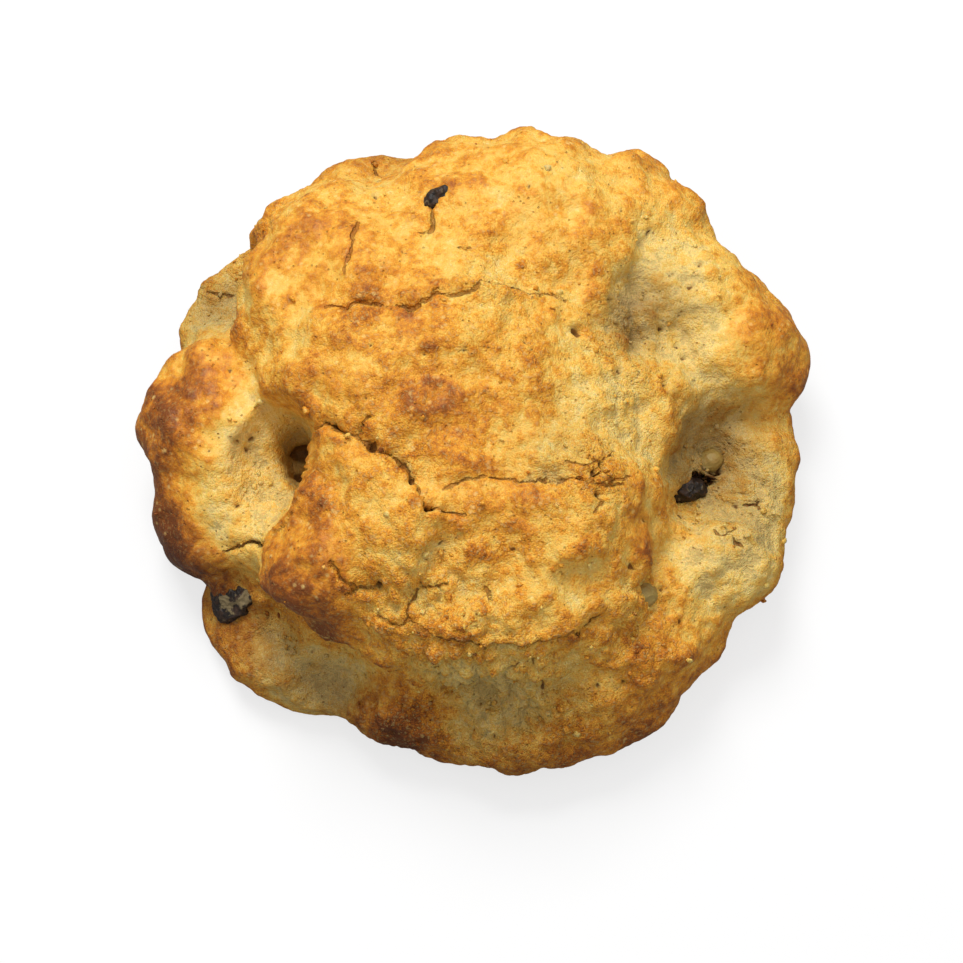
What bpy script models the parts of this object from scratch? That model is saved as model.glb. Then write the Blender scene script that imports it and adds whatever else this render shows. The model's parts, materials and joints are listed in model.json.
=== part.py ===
"""A large, tall oatmeal raisin cookie with what is baked into its crust.

Metres, +Z up.  The cookie rests on its flat base at z = 0, with the centre of its outline
on the Z axis.  The dough is one lumpy solid.  Its surface is worked out from named lumps
that melt into each other, from which named hollows are pressed, and every raisin and
piece of nut sits in a pocket of its own that is cut to fit it.
"""
import math
from dataclasses import dataclass

import bpy
import numpy as np
from mathutils import Matrix, Vector

MM = 0.001

# Driving sizes of the whole cookie.
COOKIE_WIDTH = 102.0 * MM
COOKIE_DEPTH = 97.0 * MM
COOKIE_HEIGHT = 40.0 * MM

# The core is a flattened ball inside the dough.  Every surface point lies on one of its normals.
CORE_REACH = (33.0, 33.0, 4.5)
CORE_HEIGHT = 6.5
# THICKNESS is the dough's usual thickness over the core at LIFTS, from the base up to the top.
CORE_LOWEST_LIFT = -0.9
LIFTS = (CORE_LOWEST_LIFT, 0.0, 0.9, 1.3, math.pi / 2)
THICKNESS = (8.0, 15.0, 19.0, 26.0, 29.0)
SEARCH_FROM = 36.0
SEARCH_TO = 0.0
SEARCH_STEPS = 61
SEARCH_HALVINGS = 12
SMOOTHING_PASSES = 2

GRID_CELLS = 54
BASE_EDGE_ROUND = 1.2
BASE_SNAP = 0.15

# The dough's own unevenness: size of a bump and how far it stands out.
RELIEF = ((11.0, 1.3), (6.5, 1.0))
RELIEF_SEED = 7
NOISE_GAIN = 1.6
RELIEF_FULL_HEIGHT = 4.0

POCKET_GAP = 0.3 * MM
FRUIT_ROWS = 9
FRUIT_COLUMNS = 14
DENT_REACH = 0.5
SLOW_FOLD_SWAY = 1.3
QUICK_FOLDS_MORE = 3
QUICK_FOLD_TWIST = 4.0


@dataclass(frozen=True)
class Blob:
    """An ellipsoid of dough or of air: drawing millimetres, turned about Z, with its blend."""

    name: str
    at: tuple
    reach: tuple
    turn: float
    blend: float

    def distance(self, points):
        """Signed distance of each point, negative inside (near enough close to the surface)."""
        offset = points - np.array(self.at)
        angle = math.radians(self.turn)
        along = math.cos(angle) * offset[:, 0] + math.sin(angle) * offset[:, 1]
        across = math.cos(angle) * offset[:, 1] - math.sin(angle) * offset[:, 0]
        local = np.stack([along, across, offset[:, 2]], axis=1)
        reach = np.array(self.reach)
        scaled = np.linalg.norm(local / reach, axis=1)
        slope = np.linalg.norm(local / reach ** 2, axis=1)
        return scaled * (scaled - 1.0) / np.maximum(slope, 1e-6)


LUMPS = (
    Blob("skirt", (0.5, -0.8, 6.0), (46.5, 45.0, 12.0), 0.0, 3.0),
    Blob("body", (-1.0, 1.7, 10.0), (39.0, 38.0, 24.0), 0.0, 5.0),
    Blob("back_left_ledge", (-13.0, 36.5, 8.5), (17.5, 12.0, 11.0), 8.0, 2.0),
    Blob("left_ledge", (-33.0, 18.7, 7.0), (13.0, 13.5, 10.0), 20.0, 2.0),
    Blob("left_back_ledge", (-31.0, 26.0, 6.0), (8.5, 8.5, 7.5), 0.0, 2.0),
    Blob("crown", (-5.0, 6.7, 22.0), (27.0, 24.0, 18.0), -20.0, 5.0),
    Blob("crown_back", (6.0, 28.7, 17.0), (25.0, 19.5, 17.0), 8.0, 4.0),
    Blob("crown_left", (-19.0, 21.7, 18.0), (18.0, 18.5, 15.5), 30.0, 4.0),
    Blob("crown_front", (-6.0, -12.0, 22.0), (23.0, 19.5, 16.8), 15.0, 4.0),
    Blob("crown_right", (12.5, -13.0, 21.0), (15.0, 15.5, 17.0), -15.0, 3.0),
    Blob("back_right", (23.0, 32.8, 13.0), (14.0, 13.5, 14.5), 0.0, 3.0),
    Blob("right_ridge", (32.2, 22.8, 13.0), (18.3, 11.0, 13.0), -32.0, 2.5),
    Blob("nose", (-17.8, -19.2, 20.5), (14.8, 11.5, 13.8), 35.0, 1.5),
    Blob("front", (3.0, -27.5, 18.0), (22.0, 11.0, 16.5), 0.0, 3.0),
    Blob("mid_right", (18.0, -17.0, 20.5), (9.2, 8.8, 15.0), 10.0, 1.5),
    Blob("right_lump", (38.8, 14.2, 12.0), (12.5, 10.5, 12.0), -15.0, 3.0),
    Blob("right_flap", (42.0, -2.0, 8.0), (8.2, 16.5, 7.0), 3.0, 1.5),
    Blob("left_lump", (-38.3, 3.4, 12.0), (12.6, 13.5, 12.5), 0.0, 2.5),
    Blob("left_foot", (-37.6, -9.2, 9.0), (12.5, 11.0, 11.0), -20.0, 3.0),
    Blob("left_step", (-33.0, -15.8, 10.0), (9.5, 6.0, 9.5), -15.0, 1.5),
    Blob("left_low_skirt", (-35.4, -23.0, 2.5), (7.0, 8.5, 5.2), 0.0, 1.5),
    Blob("right_foot", (35.5, -18.8, 9.0), (11.5, 8.5, 11.0), 10.0, 2.0),
    Blob("front_right", (23.0, -30.3, 9.0), (17.0, 11.5, 13.0), 40.0, 4.0),
    Blob("front_foot", (6.0, -36.3, 7.0), (24.0, 12.0, 9.0), 0.0, 4.0),
    Blob("front_left", (-26.5, -29.3, 4.0), (13.5, 9.5, 7.0), -40.0, 2.5),
)

HOLLOWS = (
    Blob("left_pit", (-26.3, -3.4, 25.0), (3.0, 6.4, 13.0), 8.0, 0.6),
    Blob("left_valley", (-30.8, -7.0, 27.0), (6.8, 11.0, 9.2), -22.0, 1.0),
    Blob("raisin_bay", (-35.5, -28.8, 17.5), (14.0, 8.5, 10.5), -35.0, 0.8),
    Blob("raisin_bay_end", (-22.5, -38.5, 19.0), (12.0, 8.0, 11.8), -30.0, 0.8),
    Blob("back_left_bay", (-42.0, 23.2, 18.5), (10.5, 6.5, 8.0), 35.0, 2.0),
    Blob("back_bay", (-14.0, 49.7, 25.0), (10.0, 6.0, 9.0), 15.0, 1.5),
    Blob("back_right_pit", (27.5, 14.5, 33.5), (6.5, 7.5, 7.2), 15.0, 2.5),
    Blob("back_right_cleft", (24.2, 14.5, 33.0), (3.6, 6.6, 9.6), 15.0, 0.7),
    Blob("mid_dip", (-9.0, -9.5, 43.6), (12.0, 3.4, 6.2), -35.0, 2.5),
    Blob("right_dip", (13.0, -3.0, 42.6), (5.5, 9.5, 6.2), 20.0, 2.5),
    Blob("knob_dip", (14.0, -11.0, 41.5), (9.0, 2.6, 5.6), 4.0, 2.0),
    Blob("front_crown_dip", (-3.0, -24.5, 39.0), (3.6, 7.0, 6.0), 12.0, 2.0),
    Blob("shoulder_dip", (-10.5, 23.0, 41.5), (3.5, 9.0, 6.0), -10.0, 3.0),
    Blob("right_bay", (36.0, -5.5, 24.0), (7.0, 11.0, 13.5), -22.0, 1.0),
)


def smooth_union(first, second, blend):
    """The nearer of two distances, rounded off over the blend where they meet."""
    mix = np.clip(0.5 + 0.5 * (second - first) / blend, 0.0, 1.0)
    return second + (first - second) * mix - blend * mix * (1.0 - mix)


def smooth_cut(solid, hollow, blend):
    """The distance of the solid with the hollow pressed out of it."""
    return -smooth_union(-solid, hollow, blend)


def lattice_gradients(corner, seed):
    """A repeatable unit direction for each whole-number lattice corner."""
    key = corner.astype(np.int64) * np.array([73856093, 19349663, 83492791])
    key = (key.sum(axis=1) + seed * 2654435761) & 0xFFFFFFFF
    key = ((key ^ (key >> 15)) * 2246822519) & 0xFFFFFFFF
    key = ((key ^ (key >> 13)) * 3266489917) & 0xFFFFFFFF
    turn = (key & 0xFFFF) / 65536.0 * math.tau
    height = (key >> 16) / 32768.0 - 1.0
    flat = np.sqrt(np.maximum(0.0, 1.0 - height ** 2))
    return np.stack([flat * np.cos(turn), flat * np.sin(turn), height], axis=1)


def gradient_noise(points, cell, seed):
    """Smooth noise of about -1 to 1 whose bumps are one cell apart."""
    scaled = points / cell
    low = np.floor(scaled)
    inside = scaled - low
    ease = inside ** 3 * (inside * (inside * 6.0 - 15.0) + 10.0)
    total = np.zeros(len(points))
    for corner in np.ndindex(2, 2, 2):
        corner = np.array(corner)
        slope = lattice_gradients(low + corner, seed)
        weight = np.prod(np.where(corner, ease, 1.0 - ease), axis=1)
        total += weight * np.sum(slope * (inside - corner), axis=1)
    return total * NOISE_GAIN


def dough_distance(points):
    """Signed distance to the dough: lumps melted together, hollows pressed out, base cut flat."""
    distance = LUMPS[0].distance(points)
    for lump in LUMPS[1:]:
        distance = smooth_union(distance, lump.distance(points), lump.blend)
    for hollow in HOLLOWS:
        distance = smooth_cut(distance, hollow.distance(points), hollow.blend)
    return -smooth_union(-distance, points[:, 2], BASE_EDGE_ROUND)


def core_points(bearing, lift):
    """Points and outward normals of the core at a bearing about Z and a lift above its equator."""
    normal = np.stack([np.cos(lift) * np.cos(bearing), np.cos(lift) * np.sin(bearing), np.sin(lift)], axis=1)
    spread = np.array(CORE_REACH) ** 2 * normal
    point = spread / np.sqrt(np.sum(spread * normal, axis=1, keepdims=True))
    point[:, 2] += CORE_HEIGHT
    return point, normal


def lift_for_reach(reach):
    """The core lift for a fraction of the way down the surface, so that rows are evenly spaced."""
    lift = np.linspace(math.pi / 2, CORE_LOWEST_LIFT, 1000)
    point, normal = core_points(np.zeros_like(lift), lift)
    thickness = np.interp(lift, LIFTS, THICKNESS)
    outline = point + normal * thickness[:, None]
    length = np.concatenate([[0.0], np.cumsum(np.linalg.norm(np.diff(outline, axis=0), axis=1))])
    return np.interp(reach * length[-1], length, lift)


def disc_grid(cells):
    """A square grid bent onto a disc: the reach (0 centre, 1 rim) and bearing of each point."""
    side = np.linspace(-1.0, 1.0, cells + 1)
    u, v = np.meshgrid(side, side, indexing="ij")
    reach = np.maximum(np.abs(u), np.abs(v))
    quarter = math.pi / 4
    wide = np.abs(u) > np.abs(v)
    safe_u = np.where(u == 0.0, 1.0, u)
    safe_v = np.where(v == 0.0, 1.0, v)
    from_x = quarter * v / safe_u + np.where(u < 0.0, math.pi, 0.0)
    from_y = math.pi / 2 - quarter * u / safe_v + np.where(v < 0.0, math.pi, 0.0)
    return reach, np.where(reach == 0.0, 0.0, np.where(wide, from_x, from_y))


def outermost_surface(start, direction):
    """Distance along each ray to the outermost surface: stepped inwards, then halved."""
    inside = np.full(len(start), SEARCH_TO)
    outside = np.full(len(start), SEARCH_FROM)
    open_rays = np.arange(len(start))
    for reach in np.linspace(SEARCH_FROM, SEARCH_TO, SEARCH_STEPS):
        value = dough_distance(start[open_rays] + direction[open_rays] * reach)
        inside[open_rays[value < 0.0]] = reach
        outside[open_rays[value >= 0.0]] = reach
        open_rays = open_rays[value >= 0.0]
        if len(open_rays) == 0:
            break
    for _ in range(SEARCH_HALVINGS):
        middle = 0.5 * (inside + outside)
        hit = dough_distance(start + direction * middle[:, None]) < 0.0
        inside = np.where(hit, middle, inside)
        outside = np.where(hit, outside, middle)
    return 0.5 * (inside + outside)


def softened(field):
    """The grid of values with every inner one moved halfway to the mean of its neighbours."""
    result = field.copy()
    mean = field[:-2, 1:-1] + field[2:, 1:-1] + field[1:-1, :-2] + field[1:-1, 2:]
    result[1:-1, 1:-1] = 0.5 * field[1:-1, 1:-1] + 0.125 * mean
    return result


def unevened(grid):
    """The grid of points pushed along its own normals by the relief, which dies out at the base."""
    along_u = np.gradient(grid, axis=0)
    along_v = np.gradient(grid, axis=1)
    normal = np.cross(along_u, along_v)
    normal /= np.linalg.norm(normal, axis=2, keepdims=True)
    points = grid.reshape(-1, 3)
    push = np.zeros(len(points))
    for number, (cell, height) in enumerate(RELIEF):
        push += height * gradient_noise(points, cell, RELIEF_SEED + number)
    push *= np.clip(points[:, 2] / RELIEF_FULL_HEIGHT, 0.0, 1.0)
    return grid + normal * push.reshape(grid.shape[:2])[:, :, None]


def dough_surface(cells):
    """Top and side of the dough as a (cells + 1)^2 grid of points in drawing millimetres."""
    reach, bearing = disc_grid(cells)
    start, direction = core_points(bearing.ravel(), lift_for_reach(reach.ravel()))
    thickness = outermost_surface(start, direction).reshape(cells + 1, cells + 1)
    for _ in range(SMOOTHING_PASSES):
        thickness = softened(thickness)
    points = start + direction * thickness.reshape(-1, 1)
    points[:, 2] = np.where(points[:, 2] < BASE_SNAP, 0.0, points[:, 2])
    return unevened(points.reshape(cells + 1, cells + 1, 3))


def fit_to_size(points):
    """The matrix that takes drawing millimetres to the driving sizes, centred on the Z axis."""
    low = points.reshape(-1, 3).min(axis=0)
    high = points.reshape(-1, 3).max(axis=0)
    scale = np.array([COOKIE_WIDTH, COOKIE_DEPTH, COOKIE_HEIGHT]) / (high - low)
    centre = Vector((0.5 * (low[0] + high[0]), 0.5 * (low[1] + high[1]), low[2]))
    return Matrix.Diagonal((*scale, 1.0)) @ Matrix.Translation(-centre)


def add_object(name, mesh, material):
    """Put a smooth-shaded mesh in the scene under its node's name, in its material."""
    mesh.materials.append(material)
    mesh.shade_smooth()
    thing = bpy.data.objects.new(name, mesh)
    bpy.context.scene.collection.objects.link(thing)
    return thing


def plain_material(name, colour, roughness):
    """A non-metallic Principled material."""
    material = bpy.data.materials.new(name)
    material.use_nodes = True
    shader = material.node_tree.nodes["Principled BSDF"]
    shader.inputs["Base Color"].default_value = (*colour, 1.0)
    shader.inputs["Roughness"].default_value = roughness
    shader.inputs["Metallic"].default_value = 0.0
    return material


def grid_quads(cells):
    """The grid's faces, each starting on the corner whose diagonal runs out from the centre."""
    index = np.arange((cells + 1) ** 2).reshape(cells + 1, cells + 1)
    corners = (index[:-1, :-1], index[1:, :-1], index[1:, 1:], index[:-1, 1:])
    quads = np.stack(corners, axis=-1)
    half = (cells + 1) // 2
    quads[:half, half:] = np.roll(quads[:half, half:], 1, axis=-1)
    quads[half:, :half] = np.roll(quads[half:, :half], 1, axis=-1)
    rim = np.concatenate([index[:-1, 0], index[-1, :-1], index[:0:-1, -1], index[0, :0:-1]])
    return quads.reshape(-1, 4), rim


def add_dough(surface, fit, material):
    """The dough: the grid of top and side points, closed underneath by one flat fan."""
    quads, rim = grid_quads(surface.shape[0] - 1)
    points = surface.reshape(-1, 3)
    points[rim, 2] = 0.0
    middle = points[rim].mean(axis=0)
    points = np.vstack([points, middle])
    fan = np.stack([np.roll(rim, -1), rim, np.full(len(rim), len(points) - 1)], axis=1)
    mesh = bpy.data.meshes.new("dough")
    mesh.from_pydata(points.tolist(), [], quads.tolist() + fan.tolist())
    mesh.transform(fit)
    return add_object("dough", mesh, material)


@dataclass(frozen=True)
class Inclusion:
    """Something baked into the crust: a folded, dented ball, in drawing millimetres and degrees."""

    name: str
    at: tuple
    size: tuple
    facing: tuple
    heading: float
    folds: int
    fold_depth: float
    dent: float

    def pose(self):
        """The turn that points its flatter side along its facing and its length along its heading."""
        up = Vector(self.facing).normalized()
        angle = math.radians(self.heading)
        side = up.cross(Vector((math.cos(angle), math.sin(angle), 0.0))).normalized()
        return Matrix((side.cross(up), side, up)).transposed().to_4x4()

    def point(self, column, row, grow):
        """A point of its skin, in metres from its middle, pushed outwards by grow."""
        around = math.tau * column / FRUIT_COLUMNS
        down = math.pi * row / FRUIT_ROWS
        slow_fold = math.cos(self.folds * around + SLOW_FOLD_SWAY * math.sin(2.0 * down))
        quick_fold = math.cos((self.folds + QUICK_FOLDS_MORE) * around - QUICK_FOLD_TWIST * down)
        radius = 1.0 + self.fold_depth * (slow_fold + 0.5 * quick_fold) * math.sin(down) ** 2
        side = math.sin(down) * radius
        lift = math.cos(down) * (1.0 - self.dent * math.exp(-((side / DENT_REACH) ** 2)))
        direction = (side * math.cos(around), side * math.sin(around), lift)
        half = [0.5 * length * MM + grow for length in self.size]
        return Vector(half[axis] * direction[axis] for axis in range(3))


RAISINS = (
    Inclusion("raisin_in_left_bay", (-36.1, -23.2, 8.0), (8.6, 6.4, 5.2), (-0.42, -0.5, 0.76),
              35.0, 4, 0.09, 0.45),
    Inclusion("raisin_in_right_bay", (32.3, -6.8, 12.0), (6.2, 3.8, 3.6), (0.3, -0.2, 0.93),
              0.0, 3, 0.07, 0.1),
    Inclusion("raisin_under_crown", (-5.0, 33.2, 30.2), (5.8, 3.0, 3.2), (-0.33, 0.31, 0.89),
              20.0, 3, 0.06, 0.0),
)

NUTS = (
    Inclusion("nut_in_right_bay", (35.8, -2.2, 11.2), (4.2, 3.6, 3.2), (0.0, -0.2, 0.98),
              15.0, 2, 0.05, 0.0),
    Inclusion("nut_in_front_slope", (24.7, -25.0, 21.6), (4.6, 4.2, 3.4), (0.6, -0.16, 0.78),
              0.0, 3, 0.04, 0.0),
)


def inclusion_mesh(item, fit, grow):
    """The inclusion's closed mesh in world space, grown outwards by the given gap."""
    points = [item.point(0, 0, grow)]
    for row in range(1, FRUIT_ROWS):
        points += [item.point(column, row, grow) for column in range(FRUIT_COLUMNS)]
    points.append(item.point(0, FRUIT_ROWS, grow))
    last_row = 1 + (FRUIT_ROWS - 2) * FRUIT_COLUMNS
    faces = []
    for column in range(FRUIT_COLUMNS):
        following = (column + 1) % FRUIT_COLUMNS
        faces.append((0, 1 + column, 1 + following))
        for upper in range(1, last_row, FRUIT_COLUMNS):
            lower = upper + FRUIT_COLUMNS
            faces.append((upper + column, lower + column, lower + following, upper + following))
        faces.append((last_row + following, last_row + column, len(points) - 1))
    mesh = bpy.data.meshes.new(item.name)
    mesh.from_pydata(points, [], faces)
    mesh.transform(Matrix.Translation(fit @ Vector(item.at)) @ item.pose())
    return mesh


def add_inclusion(item, dough, fit, material):
    """Add the inclusion and cut its pocket, one gap larger all round, into the dough."""
    cutter = bpy.data.objects.new("pocket_" + item.name, inclusion_mesh(item, fit, POCKET_GAP))
    bpy.context.scene.collection.objects.link(cutter)
    cutter.hide_render = True
    cutter.display_type = "WIRE"
    cut = dough.modifiers.new("pocket_" + item.name, "BOOLEAN")
    cut.operation = "DIFFERENCE"
    cut.solver = "EXACT"
    cut.object = cutter
    add_object(item.name, inclusion_mesh(item, fit, 0.0), material)


def main():
    """Clear the scene and model the cookie."""
    for thing in list(bpy.data.objects):
        bpy.data.objects.remove(thing)
    crust = plain_material("crust", (0.50, 0.27, 0.08), 0.7)
    raisin = plain_material("raisin", (0.03, 0.015, 0.01), 0.45)
    nut = plain_material("nut", (0.52, 0.37, 0.17), 0.5)
    surface = dough_surface(GRID_CELLS)
    fit = fit_to_size(surface)
    dough = add_dough(surface, fit, crust)
    for item in RAISINS:
        add_inclusion(item, dough, fit, raisin)
    for item in NUTS:
        add_inclusion(item, dough, fit, nut)


main()
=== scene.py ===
"""The looks of a tall, lumpy oatmeal raisin cookie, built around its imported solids.

The dough is one closed skin, worked out on a fine grid from the same lumps and hollows as the
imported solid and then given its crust: bumps, crumbs, cracks, pores and browning.  Raisins and
pieces of nut sit in it, and loose crumbs lie along its cracks.  Lengths in the tables are
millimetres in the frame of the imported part, which rests on its base at z = 0.
"""
import json
import logging
import math
from dataclasses import dataclass
from enum import Enum, IntEnum
from typing import Any

import bpy
import numpy as np
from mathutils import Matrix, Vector

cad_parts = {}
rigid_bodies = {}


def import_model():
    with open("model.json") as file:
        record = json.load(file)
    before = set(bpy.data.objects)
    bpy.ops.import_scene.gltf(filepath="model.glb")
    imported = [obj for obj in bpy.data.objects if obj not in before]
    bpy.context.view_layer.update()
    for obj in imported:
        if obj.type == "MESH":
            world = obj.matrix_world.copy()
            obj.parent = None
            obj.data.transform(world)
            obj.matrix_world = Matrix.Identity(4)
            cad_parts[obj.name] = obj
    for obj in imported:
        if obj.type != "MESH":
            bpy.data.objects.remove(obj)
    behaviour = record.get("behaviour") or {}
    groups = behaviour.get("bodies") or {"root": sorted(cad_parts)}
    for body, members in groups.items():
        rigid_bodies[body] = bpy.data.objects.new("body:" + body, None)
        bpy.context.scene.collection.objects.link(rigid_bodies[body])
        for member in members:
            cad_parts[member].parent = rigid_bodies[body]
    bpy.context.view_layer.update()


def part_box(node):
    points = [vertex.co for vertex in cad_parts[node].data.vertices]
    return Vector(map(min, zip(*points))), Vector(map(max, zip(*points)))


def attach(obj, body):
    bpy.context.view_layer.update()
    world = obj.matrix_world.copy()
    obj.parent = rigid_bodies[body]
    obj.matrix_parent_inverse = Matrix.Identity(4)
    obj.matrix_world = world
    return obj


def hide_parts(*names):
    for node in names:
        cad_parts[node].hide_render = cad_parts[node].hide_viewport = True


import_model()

Array = np.ndarray
Point = tuple[float, float, float]
Spot = tuple[float, float]
Colour = tuple[float, float, float]

LOG = logging.getLogger("cookie")
MM = 0.001


class Slot(Enum):
    """The record's material slots."""

    CRUST = "crust"
    RAISIN = "raisin"
    NUT = "nut"


class Mark(Enum):
    """The measures that the dough's skin carries for its finish, one number at each point."""

    CRACK = "crack"
    NEAR = "near"
    BAKE = "bake"
    PROUD = "proud"
    # Painted shade: darker colour in creases, pits and pores, where shade falls.
    HOLLOW = "hollow"
    CRUMB = "crumb"
    # Painted shade: the dull mark dims and greys the colour in the bays and pits, under overhangs and on the
    # lower walls.
    DULL = "dull"


class Seed(IntEnum):
    """Which pattern of noise each part of the relief has; the layers of one follow on from it."""

    MELT = 7
    CRUMBLY = 31
    SHAKE = 41
    SHAKE_FINE = 43
    UNEVEN = 45
    STUCK = 55
    FINE = 60
    CRUMB = 71
    BILLOW = 80
    BUBBLE = 91


# The dough's form: lumps melted into each other, and hollows pressed out of them.


@dataclass(frozen=True)
class Blob:
    """An ellipsoid of dough or of air, turned about Z, and how softly it blends with the rest."""

    name: str
    at: Point
    reach: Point
    turn: float
    blend: float

    def distance(self, points: Array) -> Array:
        """Signed distance, negative inside: |q|(|q| - 1) / |q / reach|, with q = p / reach.

        Args:
            points: An (n, 3) array of points.

        Returns:
            The n distances.
        """
        offset = points - np.array(self.at)
        angle = math.radians(self.turn)
        along = math.cos(angle) * offset[:, 0] + math.sin(angle) * offset[:, 1]
        across = math.cos(angle) * offset[:, 1] - math.sin(angle) * offset[:, 0]
        local = np.stack([along, across, offset[:, 2]], axis=1)
        reach = np.array(self.reach)
        scaled = np.linalg.norm(local / reach, axis=1)
        slope = np.linalg.norm(local / reach ** 2, axis=1)
        return scaled * (scaled - 1.0) / np.maximum(slope, 1e-6)


LUMPS = (
    Blob("skirt", (0.5, -0.8, 6), (46.5, 45, 12), 0, 3),
    Blob("body", (-1, 1.7, 10), (39, 38, 24), 0, 5),
    Blob("back_left_ledge", (-13, 36.5, 8.5), (17.5, 12, 11), 8, 2),
    Blob("left_ledge", (-33, 18.7, 7), (13, 13.5, 10), 20, 2),
    Blob("left_back_ledge", (-31, 26, 6), (8.5, 8.5, 7.5), 0, 2),
    Blob("crown", (-5, 6.7, 22), (27, 24, 18), -20, 5),
    Blob("crown_back", (6, 28.7, 17), (25, 19.5, 17), 8, 4),
    Blob("crown_left", (-19, 21.7, 18), (18, 18.5, 15.5), 30, 4),
    Blob("crown_front", (-6, -12, 22), (23, 19.5, 16.8), 15, 4),
    Blob("crown_right", (12.5, -13, 21), (15, 15.5, 17), -15, 3),
    Blob("back_right", (23, 32.8, 13), (14, 13.5, 14.5), 0, 3),
    Blob("right_ridge", (32.2, 22.8, 13), (18.3, 11, 13), -32, 2.5),
    Blob("nose", (-17.8, -19.2, 20.5), (14.8, 11.5, 13.8), 35, 1.5),
    Blob("front", (3, -27.5, 18), (22, 11, 16.5), 0, 3),
    Blob("mid_right", (18, -17, 20.5), (9.2, 8.8, 15), 10, 1.5),
    Blob("right_lump", (38.8, 14.2, 12), (12.5, 10.5, 12), -15, 3),
    Blob("right_flap", (42, -2, 8), (8.2, 16.5, 7), 3, 1.5),
    Blob("left_lump", (-38.3, 3.4, 12), (12.6, 13.5, 12.5), 0, 2.5),
    Blob("left_foot", (-37.6, -9.2, 9), (12.5, 11, 11), -20, 3),
    Blob("left_step", (-33, -15.8, 10), (9.5, 6, 9.5), -15, 1.5),
    Blob("left_low_skirt", (-35.4, -23, 2.5), (7, 8.5, 5.2), 0, 1.5),
    Blob("right_foot", (35.5, -18.8, 9), (11.5, 8.5, 11), 10, 2),
    Blob("front_right", (23, -30.3, 9), (17, 11.5, 13), 40, 4),
    Blob("front_foot", (6, -36.3, 7), (24, 12, 9), 0, 4),
    Blob("front_left", (-26.5, -29.3, 4), (13.5, 9.5, 7), -40, 2.5),
)

HOLLOWS = (
    Blob("left_pit", (-26.3, -3.4, 25), (3, 6.4, 13), 8, 0.6),
    Blob("left_valley", (-30.8, -7, 27), (6.8, 11, 9.2), -22, 1),
    Blob("raisin_bay", (-35.5, -28.8, 17.5), (14, 8.5, 10.5), -35, 0.8),
    Blob("raisin_bay_end", (-22.5, -38.5, 19), (12, 8, 11.8), -30, 0.8),
    Blob("back_left_bay", (-42, 23.2, 18.5), (10.5, 6.5, 8), 35, 2),
    Blob("back_bay", (-14, 49.7, 25), (10, 6, 9), 15, 1.5),
    Blob("back_right_pit", (27.5, 14.5, 33.5), (6.5, 7.5, 7.2), 15, 2.5),
    Blob("back_right_cleft", (24.2, 14.5, 33), (3.6, 6.6, 9.6), 15, 0.7),
    Blob("mid_dip", (-9, -9.5, 43.6), (12, 3.4, 6.2), -35, 2.5),
    Blob("right_dip", (13, -3, 42.6), (5.5, 9.5, 6.2), 20, 2.5),
    Blob("knob_dip", (14, -11, 41.5), (9, 2.6, 5.6), 4, 2),
    Blob("front_crown_dip", (-3, -24.5, 39), (3.6, 7, 6), 12, 2),
    Blob("shoulder_dip", (-10.5, 23, 41.5), (3.5, 9, 6), -10, 3),
    Blob("right_bay", (36, -5.5, 24), (7, 11, 13.5), -22, 1),
)


# The crust's own marks.


@dataclass(frozen=True)
class Crack:
    """A ragged split in the crust along a line seen from above, widest at its middle.

    step lifts the side to the right of the line's direction, as where a plate of crust has risen;
    below zero it lifts the left side.
    """

    name: str
    line: tuple[Spot, ...]
    half_width: float
    depth: float
    step: float = 0.0


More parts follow.
